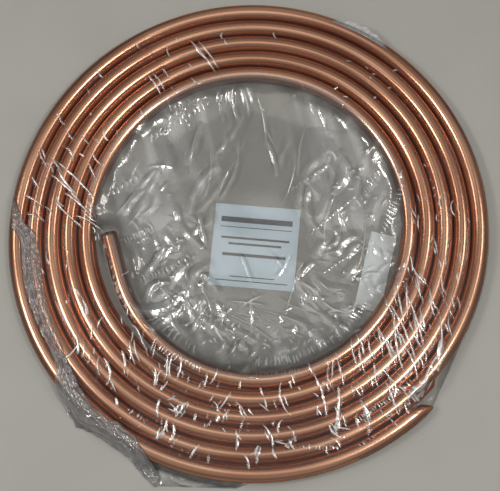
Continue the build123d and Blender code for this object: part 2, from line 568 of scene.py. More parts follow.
@dataclass(frozen=True)
class UnderFinish:
    """The film under the coil: clear, with painted shade in the copper's reflected colour in the narrow gaps
    between turns.
    """

    winding: Winding = field(default_factory=Winding)
    tint: tuple[float, float, float] = (0.95, 0.95, 0.945)
    painted_gap_shade: tuple[float, float, float] = (0.26, 0.08, 0.05)
    # Half the width of a gap, how much wider it is where it has faded out, and how far out the gaps start
    half_gap: float = 3.0
    fade: float = 1.4
    gaps_from: float = 4.0

    def build(self, name: str) -> bpy.types.Material:
        """Makes the material, with its painted dark gaps along the spiral of the winding.

        Args:
            name: the material's name.

        Returns:
            The material.
        """
        w = self.winding
        n = Nodes(name)
        place = n.add("ShaderNodeSeparateXYZ", {0: n.coordinate()})
        x, y = place.outputs["X"], place.outputs["Y"]
        out = n.math("SQRT", n.math("ADD", n.math("MULTIPLY", x, x), n.math("MULTIPLY", y, y)))
        turns = n.math("DIVIDE", n.math("ARCTAN2", y, x), 2.0 * math.pi)
        lap = n.math("DIVIDE", n.math("SUBTRACT", out, w.first_radius * MM), w.pitch * MM)
        lap = n.math("SUBTRACT", lap, turns)
        share = n.math("FRACT", n.math("ADD", lap, w.joint_angle / FULL_TURN))
        near = n.math("ABSOLUTE", n.math("SUBTRACT", share, 0.5))
        gap = n.ramp(near, self.half_gap / w.pitch, self.fade * self.half_gap / w.pitch, 1.0, 0.0)
        gap = n.math("MULTIPLY", gap, n.math("GREATER_THAN", out, (w.first_radius + self.gaps_from) * MM))
        # Painted shade and copper reflection: a dark diffuse colour fills the gaps between the turns
        gap_shade = n.add("ShaderNodeBsdfDiffuse", {"Color": (*self.painted_gap_shade, 1.0)}).outputs[0]
        return n.done(n.add("ShaderNodeMixShader", {0: gap, 1: n.clear(self.tint), 2: gap_shade}).outputs[0])


@dataclass(frozen=True)
class PaperFinish:
    """Smooth pale paper with a faint fibre, which may carry a few plain ruled lines."""

    colour: tuple[float, float, float] = (0.64, 0.75, 0.84)
    shade: tuple[float, float, float] = (0.57, 0.68, 0.77)
    ink: tuple[float, float, float] = (0.05, 0.055, 0.06)
    roughness: float = 0.55
    # Each rule, from the paper's centre: across, up, half its length and half its thickness
    rules: tuple[tuple[float, float, float, float], ...] = ()
    centre: tuple[float, float] = (0.0, 0.0)
    turn: float = 0.0

    def build(self, name: str) -> bpy.types.Material:
        """Makes the material.

        Args:
            name: the material's name.

        Returns:
            The material.
        """
        n = Nodes(name)
        place = n.coordinate()
        fibre = n.noise(n.stretched(place, (900.0, 900.0, 900.0)), 1.0, 3.0, 0.6)
        cloud = n.noise(place, 28.0, 3.0)
        tone = n.ramp(n.weighted(fibre, 0.4, cloud, 0.6), 0.35, 0.6)
        colour = n.mix(tone, self.shade, self.colour)
        if self.rules:
            inked = n.math("MULTIPLY", self.ruled(n, place), n.ramp(fibre, 0.2, 0.45, 0.82, 0.97))
            colour = n.mix(inked, colour, self.ink)
        shader = n.add("ShaderNodeBsdfPrincipled", {
            "Base Color": colour, "Roughness": self.roughness, "Normal": n.bump(fibre, 0.15, 0.0001)})
        return n.done(shader.outputs[0])

    def ruled(self, n: Nodes, place: bpy.types.NodeSocket) -> bpy.types.NodeSocket:
        """Where the plain ruled lines lie.

        Args:
            n: the material's nodes.
            place: the piece's Object coordinate.

        Returns:
            1 on a line and 0 beside it.
        """
        on_paper = n.add("ShaderNodeMapping", {
            "Vector": place, "Location": (self.centre[0] * MM, self.centre[1] * MM, 0.0),
            "Rotation": (0.0, 0.0, math.radians(self.turn))}, vector_type="TEXTURE").outputs[0]
        split = n.add("ShaderNodeSeparateXYZ", {0: on_paper})
        total: object = 0.0
        for across, up, half_length, half_thick in self.rules:
            within = [n.add("ShaderNodeMath", {0: split.outputs[axis], 1: middle * MM, 2: half * MM},
                            operation="COMPARE").outputs[0]
                      for axis, middle, half in (("X", across, half_length), ("Y", up, half_thick))]
            total = n.math("MAXIMUM", total, n.math("MULTIPLY", *within))
        return total


# The tube


@dataclass
class CopperTube:
    """The whole length of tube: cut tail, turns and nose, as one skin with its bore."""

    winding: Winding = field(default_factory=Winding)
    wall: float = 0.89
    bore_depth: float = 45.0
    sides: int = 40
    steps_per_half_turn: int = 168
    straight_steps: int = 10
    nose_steps: int = 12
    # How near vertices of two parts have to be to be joined
    merge: float = 0.002

    def build(self, finish: CopperFinish) -> bpy.types.Object:
        """Makes the tube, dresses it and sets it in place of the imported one.

        Args:
            finish: the copper finish.

        Returns:
            The finished piece.
        """
        w = self.winding
        whole = bmesh.new()
        whole.verts.layers.float_vector.new("straightened")
        along = self.tail(whole)
        bends = [(w.tail_centre, w.tail_radius, w.tail_start, w.tail_sweep)]
        bends += [(*w.half_turn(index), w.joint_angle + HALF_TURN * index, HALF_TURN)
                  for index in range(w.half_turns)]
        bends.append((*w.half_turn(w.half_turns), w.last_angle - w.last_sweep, w.last_sweep))
        for centre, radius, start, sweep in bends:
            self.bend(whole, along, centre, radius, start, sweep)
            along += radius * math.radians(sweep)
        self.nose(whole, along)
        bmesh.ops.remove_doubles(whole, verts=whole.verts, dist=self.merge)
        bmesh.ops.recalc_face_normals(whole, faces=whole.faces)
        piece = finish_mesh(whole, "tube_coil")
        piece.data.materials.append(finish.build())
        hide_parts("copper_tube")
        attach(piece, "root")
        return piece

    def upright(self, origin: Vector, heading: float) -> Matrix:
        """Places a ring across the tube: its x outwards from the turns, its y up.

        Args:
            origin: the ring's centre in the plan.
            heading: the way that the tube runs, in degrees.

        Returns:
            The matrix that moves a flat ring there.
        """
        place = Matrix.Translation((origin.x, origin.y, self.winding.axis_height))
        turned = Matrix.Rotation(math.radians(heading - 90.0), 4, "Z")
        return place @ turned @ Matrix.Rotation(math.radians(90.0), 4, "X")

    def add(self, whole: bmesh.types.BMesh, part: bmesh.types.BMesh, centre: Vector,
            along: Callable[[Vector], float]) -> None:
        """Adds one part to the tube, and stores where each vertex lies on the straightened tube.

        Args:
            whole: the tube so far.
            part: the part, which is freed.
            centre: the centre of the part's bend, which tells outwards from inwards.
            along: gives the distance along the tube for a position.
        """
        layer = part.verts.layers.float_vector.new("straightened")
        for vert in part.verts:
            out = math.hypot(vert.co.x - centre.x, vert.co.y - centre.y)
            vert[layer] = Vector((along(vert.co), out, vert.co.z)) * MM
        mesh = bpy.data.meshes.new("part")
        part.to_mesh(mesh)
        part.free()
        whole.from_mesh(mesh)
        bpy.data.meshes.remove(mesh)

    def tail(self, whole: bmesh.types.BMesh) -> float:
        """Adds the straight piece with its cut lip and bore.

        Args:
            whole: the tube so far.

        Returns:
            The distance along the tube at its end.
        """
        w = self.winding
        heading = w.tail_start + 90.0
        way = ray(heading)
        part = bmesh.new()
        ring = self.edges_of(self.circle(part, w.tube_radius, w.mouth, heading))
        bore = self.edges_of(self.circle(part, w.tube_radius - self.wall, w.mouth, heading))
        bmesh.ops.bridge_loops(part, edges=ring + bore)
        bore = self.push(part, bore, way * self.bore_depth)
        bmesh.ops.contextual_create(part, geom=bore)
        for _ in range(self.straight_steps):
            ring = self.push(part, ring, way * (w.tail_straight / self.straight_steps))
        self.add(whole, part, w.tail_centre, lambda co: (co - w.mouth).dot(way))
        return w.tail_straight

    def circle(self, part: bmesh.types.BMesh, radius: float, origin: Vector, heading: float) -> list:
        """Adds a ring of vertices across the tube.

        Args:
            part: the mesh that it is added to.
            radius: the ring's radius.
            origin: the ring's centre in the plan.
            heading: the way that the tube runs there, in degrees.

        Returns:
            The vertices.
        """
        place = self.upright(origin, heading)
        return bmesh.ops.create_circle(part, segments=self.sides, radius=radius, matrix=place)["verts"]

    @staticmethod
    def edges_of(verts: list) -> list:
        """The edges that join the vertices of one ring."""
        kept = set(verts)
        return [e for e in {e for v in verts for e in v.link_edges} if kept.issuperset(e.verts)]

    def push(self, part: bmesh.types.BMesh, ring: list, way: Vector, size: float = 1.0,
             centre: Vector = Vector()) -> list:
        """Extrudes a ring.

        Args:
            part: the mesh that it belongs to.
            ring: its edges.
            way: how far the new ring lies from it.
            size: the new ring's size as a share of the old one's.
            centre: the point that the new ring shrinks towards.

        Returns:
            The new ring's edges.
        """
        made = bmesh.ops.extrude_edge_only(part, edges=ring)["geom"]
        verts = [g for g in made if isinstance(g, bmesh.types.BMVert)]
        bmesh.ops.translate(part, vec=way, verts=verts)
        bmesh.ops.scale(part, vec=(size, size, size), verts=verts, space=Matrix.Translation(-centre))
        return self.edges_of(verts)

    def bend(self, whole: bmesh.types.BMesh, along: float, centre: Vector, radius: float, start: float,
             sweep: float) -> None:
        """Adds one bend, spun about its own upright axis.

        Args:
            whole: the tube so far.
            along: the distance along the tube at the bend's start.
            centre: the bend's centre in the plan.
            radius: the bend's radius to the tube's axis.
            start: the angle at which it starts, counted through all turns.
            sweep: the angle it turns through.
        """
        part = bmesh.new()
        ring = self.circle(part, self.winding.tube_radius, centre + ray(start) * radius, start + 90.0)
        steps = max(2, round(self.steps_per_half_turn * sweep / HALF_TURN))
        bmesh.ops.spin(part, geom=ring + self.edges_of(ring), cent=centre, axis=(0, 0, 1),
                       angle=math.radians(sweep), steps=steps)

        def distance(co: Vector) -> float:
            """Distance along the tube of a point of this bend."""
            turned = math.degrees(math.atan2(co.y - centre.y, co.x - centre.x)) - start
            return along + radius * math.radians((turned + 1.0) % FULL_TURN - 1.0)

        self.add(whole, part, centre, distance)

    def nose(self, whole: bmesh.types.BMesh, along: float) -> None:
        """Adds the outer end, drawn in to a closed nose.

        Args:
            whole: the tube so far.
            along: the distance along the tube where it begins.
        """
        w = self.winding
        centre, radius = w.half_turn(w.half_turns)
        outwards, way = ray(w.last_angle), ray(w.last_angle + 90.0)
        end = centre + outwards * radius + Vector((0, 0, w.axis_height))
        part = bmesh.new()
        ring = self.edges_of(self.circle(part, w.tube_radius, end, w.last_angle + 90.0))
        reach = 0.0
        for count in range(1, self.nose_steps + 1):
            target = w.nose_length * math.sin(math.pi / 2.0 * count / self.nose_steps)
            old, new = (float(w.nose_radius(np.array(at))) for at in (reach, target))
            step = way * (target - reach) + outwards * (w.nose_lean * (old - new))
            middle = end + way * target + outwards * (w.nose_lean * (w.tube_radius - new))
            ring = self.push(part, ring, step, new / old, middle)
            reach = target
        bmesh.ops.contextual_create(part, geom=ring)
        self.add(whole, part, Vector(), lambda co: along + (co - end).dot(way))


# The film


class Profile(Enum):
    """How a crease rises across its length."""

    RIDGE = "a rounded ridge with a narrow crest"
    TENT = "two flat sides that meet in a crest"


@dataclass(frozen=True)
class Crease:
    """One crease of the film, as a ridge between two points of the plan."""

    start: tuple[float, float]
    end: tuple[float, float]
    height: float
    width: float
    bow: float = 0.0

    @classmethod
    def about(cls, middle: tuple[float, float], way: float, half: float, height: float, width: float,
              bow: float) -> "Crease":
        """A crease about its middle, from its way in radians and half its length.

        Args:
            middle: plan point of the middle.
            way: the angle in the plan at which it runs, in radians.
            half: half its length.
            height: its height.
            width: its width.
            bow: how far its middle is bowed to one side.

        Returns:
            The crease.
        """
        x, y = middle
        dx, dy = half * math.cos(way), half * math.sin(way)
        return cls((x - dx, y - dy), (x + dx, y + dy), height, width, bow)

    def lift(self, x: np.ndarray, y: np.ndarray, profile: Profile) -> np.ndarray:
        """How far the crease lifts the film at each point.

        Args:
            x: plan coordinates.
            y: plan coordinates.
            profile: how it rises across its length.

        Returns:
            The lifts.
        """
        ax, ay = self.start
        dx, dy = self.end[0] - ax, self.end[1] - ay
        length = math.hypot(dx, dy)
        t = np.clip(((x - ax) * dx + (y - ay) * dy) / length**2, 0.0, 1.0)
        bend = self.bow * 4.0 * t * (1.0 - t)
        off = np.hypot(x - ax - t * dx + bend * dy / length, y - ay - t * dy - bend * dx / length)
        taper = np.sin(np.pi * (0.08 + 0.84 * t)) ** 0.7
        if profile is Profile.TENT:
            uneven = 1.0 + 0.12 * np.sin(t * length / 3.3 + ax)
            return 0.6 * self.height * taper * uneven * np.maximum(1.0 - off / self.width, 0.0)
        return 0.8 * self.height * taper * np.exp(-(off / self.width) ** 1.4)

    def reach(self) -> tuple[float, float, float, float]:
        """The box of the plan that the crease can lift.

        Returns:
            Least x, least y, most x and most y.
        """
        room = 3.5 * self.width + abs(self.bow)
        xs, ys = (self.start[0], self.end[0]), (self.start[1], self.end[1])
        return min(xs) - room, min(ys) - room, max(xs) + room, max(ys) + room


def lift_of(creases: list[Crease], x: np.ndarray, y: np.ndarray, profile: Profile) -> np.ndarray:
    """How far the highest of some creases lifts the film at each point.

    Args:
        creases: the creases.
        x: plan coordinates.
        y: plan coordinates.
        profile: how they rise across their length.

    Returns:
        The lifts.
    """
    total = np.zeros_like(x)
    for crease in creases:
        x0, y0, x1, y1 = crease.reach()
        near = np.flatnonzero((x > x0) & (x < x1) & (y > y0) & (y < y1))
        if len(near):
            total[near] = np.maximum(total[near], crease.lift(x[near], y[near], profile))
    return total


@dataclass(frozen=True)
class CreaseRow:
    """A row of short creases side by side, where the film is pleated or pricked."""

    start: tuple[float, float]
    end: tuple[float, float]
    count: int
    stroke: float
    lean: float
    height: float = 0.8
    width: float = 1.0
    fan: float = 0.0

    def creases(self, draw: np.random.Generator) -> list[Crease]:
        """The creases of the row, each a little uneven.

        Args:
            draw: gives the random numbers.

        Returns:
            The creases, in order along the row.
        """
        made = []
        for index in range(self.count):
            t = index / max(self.count - 1, 1)
            middle = tuple(a + t * (b - a) + draw.normal(0.0, 0.25) for a, b in zip(self.start, self.end))
            way = math.radians(self.lean + self.fan * (t - 0.5) + draw.normal(0.0, 4.0))
            half = 0.5 * self.stroke * draw.uniform(0.75, 1.2)
            made.append(Crease.about(middle, way, half, self.height * draw.uniform(0.7, 1.25), self.width,
                                     draw.normal(0.0, 0.08) * self.stroke))
        return made


@dataclass(frozen=True)
class CreaseCluster:
    """Short creases strewn over a round patch, where the film is crumpled."""

    centre: tuple[float, float]
    radius: float
    count: int
    stroke: float = 5.0
    height: float = 0.8
    width: float = 1.1
    lean: float = 75.0
    spread: float = 45.0

    def creases(self, draw: np.random.Generator) -> list[Crease]:
        """The creases of the patch.

        Args:
            draw: gives the random numbers.

        Returns:
            The creases.
        """
        made = []
        for _ in range(self.count):
            out, turn = self.radius * math.sqrt(draw.uniform()), draw.uniform(0.0, 2.0 * math.pi)
            middle = (self.centre[0] + out * math.cos(turn), self.centre[1] + out * math.sin(turn))
            way = math.radians(draw.normal(self.lean, self.spread))
            half = 0.5 * self.stroke * draw.uniform(0.4, 1.6)
            height = self.height * draw.uniform(0.5, 1.4)
            width = self.width * draw.uniform(0.8, 1.5)
            bow = draw.normal(0.0, 0.15) * self.stroke
            made.append(Crease.about(middle, way, half, height, width, bow))
        return made


@dataclass(frozen=True)
class StrandZone:
    """Long thin folds that cross the turns over part of the coil, leaning nearly one way."""

    angles: tuple[float, float]
    count: int
    lean: float
    radii: tuple[float, float] = (178.0, 282.0)
    length: tuple[float, float] = (8.0, 42.0)
    spread: float = 9.0
    height: float = 1.5
    width: float = 0.9

    def creases(self, draw: np.random.Generator) -> list[Crease]:
        """The folds of the zone, each a little curved.

        Args:
            draw: gives the random numbers.

        Returns:
            The folds.
        """
        made = []
        for _ in range(self.count):
            angle, radius = draw.uniform(*self.angles), draw.uniform(*self.radii)
            length = self.length[0] + (self.length[1] - self.length[0]) * draw.uniform() ** 1.4
            way = math.radians(draw.normal(self.lean, self.spread))
            centre, half = ray(angle) * radius, 0.5 * length * Vector((math.cos(way), math.sin(way), 0.0))
            made.append(Crease(tuple((centre - half).xy), tuple((centre + half).xy),
                               self.height * draw.uniform(0.5, 1.1), self.width * draw.uniform(0.75, 1.1),
                               draw.normal(0.0, 0.11) * length))
        return made


def from_rows(kind: type, points: int, *rows: tuple[float, ...]) -> tuple:
    """Creases or groups of creases from rows of numbers.

    Args:
        kind: the class to make.
        points: how many plan points each row starts with.
        rows: x and y of those points, then the other sizes in the order of the class.

    Returns:
        One object for each row.
    """
    return tuple(kind(*(row[i:i + 2] for i in range(0, 2 * points, 2)), *row[2 * points:]) for row in rows)


def all_creases(seed: int, singles: tuple[Crease, ...],
                *groups: CreaseRow | CreaseCluster | StrandZone) -> list[Crease]:
    """Single creases, and those that groups of them draw in turn from one seed."""
    draw = np.random.default_rng(seed)
    return [*singles, *(crease for group in groups for crease in group.creases(draw))]


@dataclass
class Drape:
    """Where the bag's top film lies: over the tubes, sagging between them, and on the floor in the eye."""

    winding: Winding = field(default_factory=Winding)
    # How high the film floats over the copper, how far from each crest it touches, how far at most, and
    # how much that grows for each millimetre more between two tubes
    lift: float = 0.25
    hug: float = 1.6
    most_hug: float = 4.5
    hug_by_width: float = 0.06
    # The eye: first slope, break, second slope and floor, with rounded corners
    eye_hug: float = 6.0
    eye_slope: float = 0.78
    foot_height: float = 8.0
    foot_slope: float = 0.25
    eye_floor: float = 1.5
    eye_bend: float = 1.2
    # Outside the outermost crest
    outer_hug: float = 5.0
    outer_slope: float = 0.9
    outer_floor: float = 0.6
    outer_skin: float = 0.1
    # Angles about the cut end, and past the end of the round tube, over which the film changes over
    end_room: float = 25.0
    tail_blend: tuple[float, float] = (-9.0, 0.5)
    rim_blend: float = 10.0
    nose_blend: tuple[float, float] = (4.5, 14.0)
    crest_blend: tuple[float, float] = (2.0, 14.0)
    hull_span: tuple[float, float] = (4.6, 31.0)

    @property
    def last(self) -> float:
        """Plan angle, from the seam up, at which the round tube ends and its nose begins."""
        return self.winding.last_angle - self.winding.whole_turns * FULL_TURN

    def tube_top(self, off: np.ndarray, radius: np.ndarray) -> np.ndarray:
        """Height of film that touches a tube at an offset from its axis."""
        reach = radius + self.lift
        return self.winding.axis_height + np.sqrt(np.maximum(reach**2 - off**2, 0.01))

    def slope(self, hug: np.ndarray, radius: np.ndarray) -> np.ndarray:
        """How steeply the film leaves a tube that it touches up to an offset."""
        return np.minimum(hug / np.sqrt(np.maximum((radius + self.lift) ** 2 - hug**2, 0.01)), 0.8)

    def nose_path(self, angle: np.ndarray) -> tuple[np.ndarray, np.ndarray]:
        """Axis and size of the outer end: round up to its nose, then straight on and tapering.

        Args:
            angle: plan angles from the seam up to a full turn more.

        Returns:
            Distance of the axis from the centre along each ray, and the tube's radius there.
        """
        w = self.winding
        end = w.turn_radius(np.array(self.last), w.whole_turns)
        past = np.radians(np.clip(angle - self.last, 0.0, 30.0))
        size = w.nose_radius(end * np.tan(past))
        axis = w.turn_radius(np.minimum(angle, self.last), w.whole_turns) / np.cos(past)
        return axis + w.nose_lean * (w.tube_radius - size), size

    def laps(self, angle: np.ndarray, tail: bool,
             nose: bool) -> list[tuple[np.ndarray, np.ndarray, np.ndarray]]:
        """The tubes that cross each ray, from the eye outwards.

        Args:
            angle: plan angles from the seam up to a full turn more.
            tail: whether the tail is there.
            nose: whether the nose is there, past the round tube.

        Returns:
            Radius of the axis, radius of the tube and whether it is there, for each tube.
        """
        w = self.winding
        full, there = np.full_like(angle, w.tube_radius), np.ones_like(angle, bool)
        found = [(w.tail_axis(angle), full, (angle > w.mouth_angle - self.end_room) & tail)]
        found += [(w.turn_radius(angle, lap), full, there) for lap in range(w.whole_turns)]
        past_end = (angle < self.last + self.end_room) & nose
        found.append((*self.nose_path(angle), (angle < self.last) | past_end))
        return found

    def over(self, angle: np.ndarray, radius: np.ndarray, hug: np.ndarray, tail: bool = False,
             nose: bool = False) -> np.ndarray:
        """Height of the film for one choice of tail and nose.

        Args:
            angle: plan angles from the seam up to a full turn more.
            radius: distances from the winding centre.
            hug: how far from each crest the film touches its tube.
            tail: whether the tail is there.
            nose: whether the nose is there.

        Returns:
            The heights.
        """
        height = np.full_like(radius, np.nan)
        inner_axis = inner_size = None
        seen = np.zeros_like(radius, bool)
        for axis, size, there in self.laps(angle, tail, nose):
            gap = axis - radius
            if inner_axis is not None:
                bridge = self.bridge(radius - inner_axis, axis - inner_axis, hug, inner_size, size)
                here = seen & there & (radius >= inner_axis) & (radius < axis)
                height = np.where(here, bridge, height)
            first = there & ~seen & (radius < axis)
            height = np.where(first, self.into_eye(gap, size), height)
            if inner_axis is None:
                inner_axis, inner_size = axis.copy(), size.copy()
            else:
                inner_axis = np.where(there, axis, inner_axis)
                inner_size = np.where(there, size, inner_size)
            seen |= there
        off = radius - inner_axis
        outer = self.tube_top(np.minimum(off, self.outer_hug), inner_size)
        outer = outer - self.outer_slope * np.maximum(off - self.outer_hug, 0.0)
        return np.where(np.isnan(height), np.maximum(outer, self.outer_floor), height)

    def bridge(self, x: np.ndarray, width: np.ndarray, hug: np.ndarray, inner_size: np.ndarray,
               size: np.ndarray) -> np.ndarray:
        """Height of the film between two tubes.

        Args:
            x: distance outwards from the inner tube's axis.
            width: distance between the two axes.
            hug: how far from each crest the film touches its tube.
            inner_size: radius of the inner tube.
            size: radius of the outer tube.

        Returns:
            The heights.
        """
        held = np.minimum(hug * (1.0 + self.hug_by_width * (width - self.winding.pitch)), self.most_hug)
        span = width - 2.0 * held
        low, high = self.tube_top(held, inner_size), self.tube_top(held, size)
        t = np.clip((x - held) / span, 0.0, 1.0)
        sag = low * (1 - t) + high * t - self.slope(held, size) * span * t * (1.0 - t)
        outer_side = np.where(width - x < held, self.tube_top(width - x, size), sag)
        return np.where(x < held, self.tube_top(x, inner_size), outer_side)

    def into_eye(self, gap: np.ndarray, size: np.ndarray) -> np.ndarray:
        """Height of the film inside the innermost tube.

        Args:
            gap: distance inwards from the tube's axis.
            size: radius of the tube.

        Returns:
            The heights, which follow the highest of the two slopes and the floor and round their corners.
        """
        edge = self.tube_top(np.full_like(size, self.eye_hug), size)
        top = self.tube_top(np.minimum(gap, self.eye_hug), size)
        fall = edge - self.eye_slope * (gap - self.eye_hug)
        break_at = (edge - self.foot_height) / self.eye_slope
        foot = self.foot_height - self.foot_slope * (gap - self.eye_hug - break_at)
        lines = (fall, foot, np.full_like(fall, self.eye_floor))
        low = self.eye_bend * np.log(sum(np.exp(np.minimum(line, 30.0) / self.eye_bend) for line in lines))
        return np.where(gap < self.eye_hug, top, np.minimum(low, edge))

    def height(self, angle: np.ndarray, radius: np.ndarray, hug: np.ndarray) -> np.ndarray:
        """Height of the film, drawn smoothly over the cut end and over the nose.

        Args:
            angle: plan angles from the seam up to a full turn more.
            radius: distances from the winding centre.
            hug: how far from each crest the film touches its tube.

        Returns:
            The heights.
        """
        with_tail = smoothstep(*(self.winding.mouth_angle + a for a in self.tail_blend), angle)
        with_nose = 1.0 - smoothstep(*(self.last + a for a in self.nose_blend), angle)
        plain = self.over(angle, radius, hug)
        tailed = self.over(angle, radius, hug, tail=True)
        nosed = self.over(angle, radius, hug, nose=True)
        return plain + (tailed - plain) * with_tail + (nosed - plain) * with_nose

    def crest(self, angle: np.ndarray) -> np.ndarray:
        """Radius of the outermost crest, passing smoothly from the nose to the turn inside it."""
        share = smoothstep(*(self.last + a for a in self.crest_blend), angle)
        return self.nose_path(angle)[0] * (1.0 - share) + self.winding.outer_turn(angle) * share

    def outside(self, angle: np.ndarray) -> np.ndarray:
        """Radius of the bag's outer side, drawn straight from the nose to the turn inside it.

        Args:
            angle: plan angles from the seam up to a full turn more.

        Returns:
            The radius on each ray.
        """
        skin = self.lift + self.outer_skin
        axis, size = self.nose_path(angle)
        turn = self.winding.outer_turn(angle) + self.winding.tube_radius + skin
        tip, touch = (np.array([self.last + a]) for a in self.hull_span)
        tip_axis, tip_size = self.nose_path(tip)
        start = (float(tip[0]), float(tip_axis[0] + tip_size[0] + skin))
        end = (float(touch[0]), float(self.winding.outer_turn(touch)[0] + self.winding.tube_radius + skin))
        hull = np.maximum(chord(angle, start, end), turn)
        return np.where(angle <= start[0], axis + size + skin, np.where(angle < end[0], hull, turn))

    def rim(self, angle: np.ndarray) -> np.ndarray:
        """Radius of the innermost crest, which bounds the eye."""
        share = smoothstep(self.winding.mouth_angle - self.rim_blend, self.winding.mouth_angle, angle)
        return self.winding.turn_radius(angle, 0) * (1.0 - share) + self.winding.tail_axis(angle) * share


@dataclass
class EyeCreases:
    """The creases, folds and puckers of the film in the eye of the coil."""

    seed: int = 5
    # Creases narrower than this are rounded ridges, and the others are tents
    narrow: float = 2.0
    # x and y of each end, height, width and bow
    singles: tuple[Crease, ...] = from_rows(
        Crease, 2,
        # The long tapered loop that hangs from the top of the eye
        (2, 164, 13, 104, 1.7, 2.2, 3.0), (8, 156, 22, 106, 1.5, 2.0, -3.5),
        (14, 108, 27, 68, 2.6, 4.0, 2.0),
        # Streaks beside it
        (-42, 172, -39, 134, 1.5, 2.0, -3.0), (-35, 172, -31, 152, 1.1, 1.4),
        (-28, 172, -19, 130, 2.1, 3.0, -3.0), (-17, 170, -9, 140, 1.0, 1.8, 2.0),
        (71, 155, 85, 122, 1.8, 2.6, 2.0), (62, 158, 72, 138, 1.0, 1.6), (90, 98, 97, 84, 1.1, 1.9, 2.0),
        (102, 32, 110, 0, 1.9, 3.0, -3.0),
        # The folded patch at the upper left, and the two lines that run down from it
        (-134, 44, -114, 70, 2.4, 5.0, 2.0), (-124, 72, -98, 72, 1.2, 1.8, 1.0),
        (-100, 74, -118, 46, 1.4, 2.2, -3.0), (-116, 36, -104, 52, 1.6, 2.8),
        (-138, 46, -162, 10, 0.9, 1.6, 2.0), (-124, 36, -148, -4, 0.9, 1.6, 2.0),
        (-110, 115, -105, 119, 2.2, 4.0), (-72, -16, -60, 7, 2.6, 5.0), (-98, 12, -84, 8, 1.3, 2.2),
        # The bright folds at the lower left
        (-103, -44, -92, -22, 2.6, 5.0, 2.0), (-92, -74, -73, -44, 3.6, 6.5, 3.0),
        (-73, -44, -72, -66, 1.4, 2.0, -2.0), (-75, -78, -65, -74, 2.0, 3.6),
        (-96, -77, -86, -82, 1.8, 3.2), (-86, -114, -64, -108, 1.9, 2.6, -6.0),
        (-54, -94, -46, -110, 2.0, 3.2, 1.0), (-112, -99, -98, -112, 1.9, 3.4, -3.0),
        (-90, -104, -76, -128, 1.0, 1.6, -3.0), (-40, -112, -26, -134, 1.2, 1.8, -3.0),
        (-20, -152, -14, -138, 1.4, 2.4, 1.0),
        # Under the label: cross folds, and the long wavy line to the right
        (-26, -88, 20, -92, 0.9, 1.7, 1.0), (-12, -96, 14, -80, 1.0, 1.6, 1.0),
        (0, -76, 2, -120, 0.8, 1.4, 1.0), (-18, -100, 18, -106, 0.8, 1.4, -1.0),
        (56, -62, 84, -84, 1.1, 1.7, 3.0), (84, -84, 112, -98, 1.1, 1.6, -3.0),
        (112, -98, 119, -84, 1.2, 1.7, -4.0), (-7, -94, 80, -118, 0.7, 1.2, 3.0),
        (58, -58, 72, -39, 2.2, 4.2, 2.0), (-12, -32, 0, -62, 1.7, 3.4, 1.0),
        (44, -30, 30, -58, 1.5, 3.0, 2.0), (20, -28, 40, -52, 1.2, 2.2, 2.0),
        # Long thin lines
        (-76, 62, -66, 128, 0.8, 1.0, 4.0), (-58, 36, -52, 96, 0.7, 1.0, -3.0),
        (-44, 24, -22, 84, 0.6, 1.0, 4.0), (34, 30, 48, 96, 0.6, 1.0, -4.0),
        (52, 66, 60, 128, 0.7, 1.0, 3.0), (84, -20, 96, 44, 0.8, 1.0, 4.0),
        (124, -42, 132, 14, 0.8, 1.0, -3.0), (-112, -62, -70, -100, 0.8, 1.0, -4.0),
        (-66, -60, -40, -112, 0.8, 1.0, 4.0), (-46, -96, 34, -136, 0.8, 1.0, 5.0),
        (6, -96, 70, -128, 0.7, 1.0, -4.0), (34, -82, 100, -100, 0.7, 1.0, -5.0),
        (62, -44, 40, -112, 0.6, 1.0, -4.0), (-150, 20, -122, -34, 0.7, 1.0, 3.0),
        (-134, 84, -150, 40, 0.7, 1.0, -3.0),
    )
    # x and y of each end, count, stroke, lean, height, width and fan
    rows: tuple[CreaseRow, ...] = from_rows(
        CreaseRow, 2,
        (-150, -24, -118, -2, 11, 10.0, 118.0, 0.9, 1.0), (-126, -66, -76, -42, 17, 11.0, 116.0, 0.9, 1.0),
        (47, 50, 85, 78, 10, 2.4, 60.0, 0.9, 1.2), (70, -3, 118, 40, 15, 2.6, 70.0, 0.9, 1.2),
        (86, -50, 118, -26, 9, 2.4, 60.0, 0.9, 1.2), (124, 34, 148, 70, 12, 9.0, 118.0, 0.9, 1.1),
        (152, -8, 172, 52, 13, 9.0, 140.0, 1.0, 1.1, 60.0),
        (60, -84, 84, -66, 9, 15.0, 118.0, 0.9, 1.1, 30.0), (-166, 38, -140, 58, 6, 8.0, 105.0, 1.0, 1.2),
        (-124, 108, -60, 154, 13, 9.0, 100.0, 1.0, 1.0, 30.0),
        (-46, 160, -8, 163, 5, 20.0, 98.0, 1.4, 1.2, 30.0),
        (10, -158, 56, -152, 12, 13.0, 96.0, 1.1, 1.1, 30.0),
        (60, -148, 104, -124, 11, 12.0, 118.0, 1.1, 1.1, 20.0),
        (108, -118, 136, -88, 10, 10.0, 130.0, 1.1, 1.1, 30.0),
        (-110, -112, -60, -146, 10, 12.0, 62.0, 1.1, 1.2, 40.0),
    )
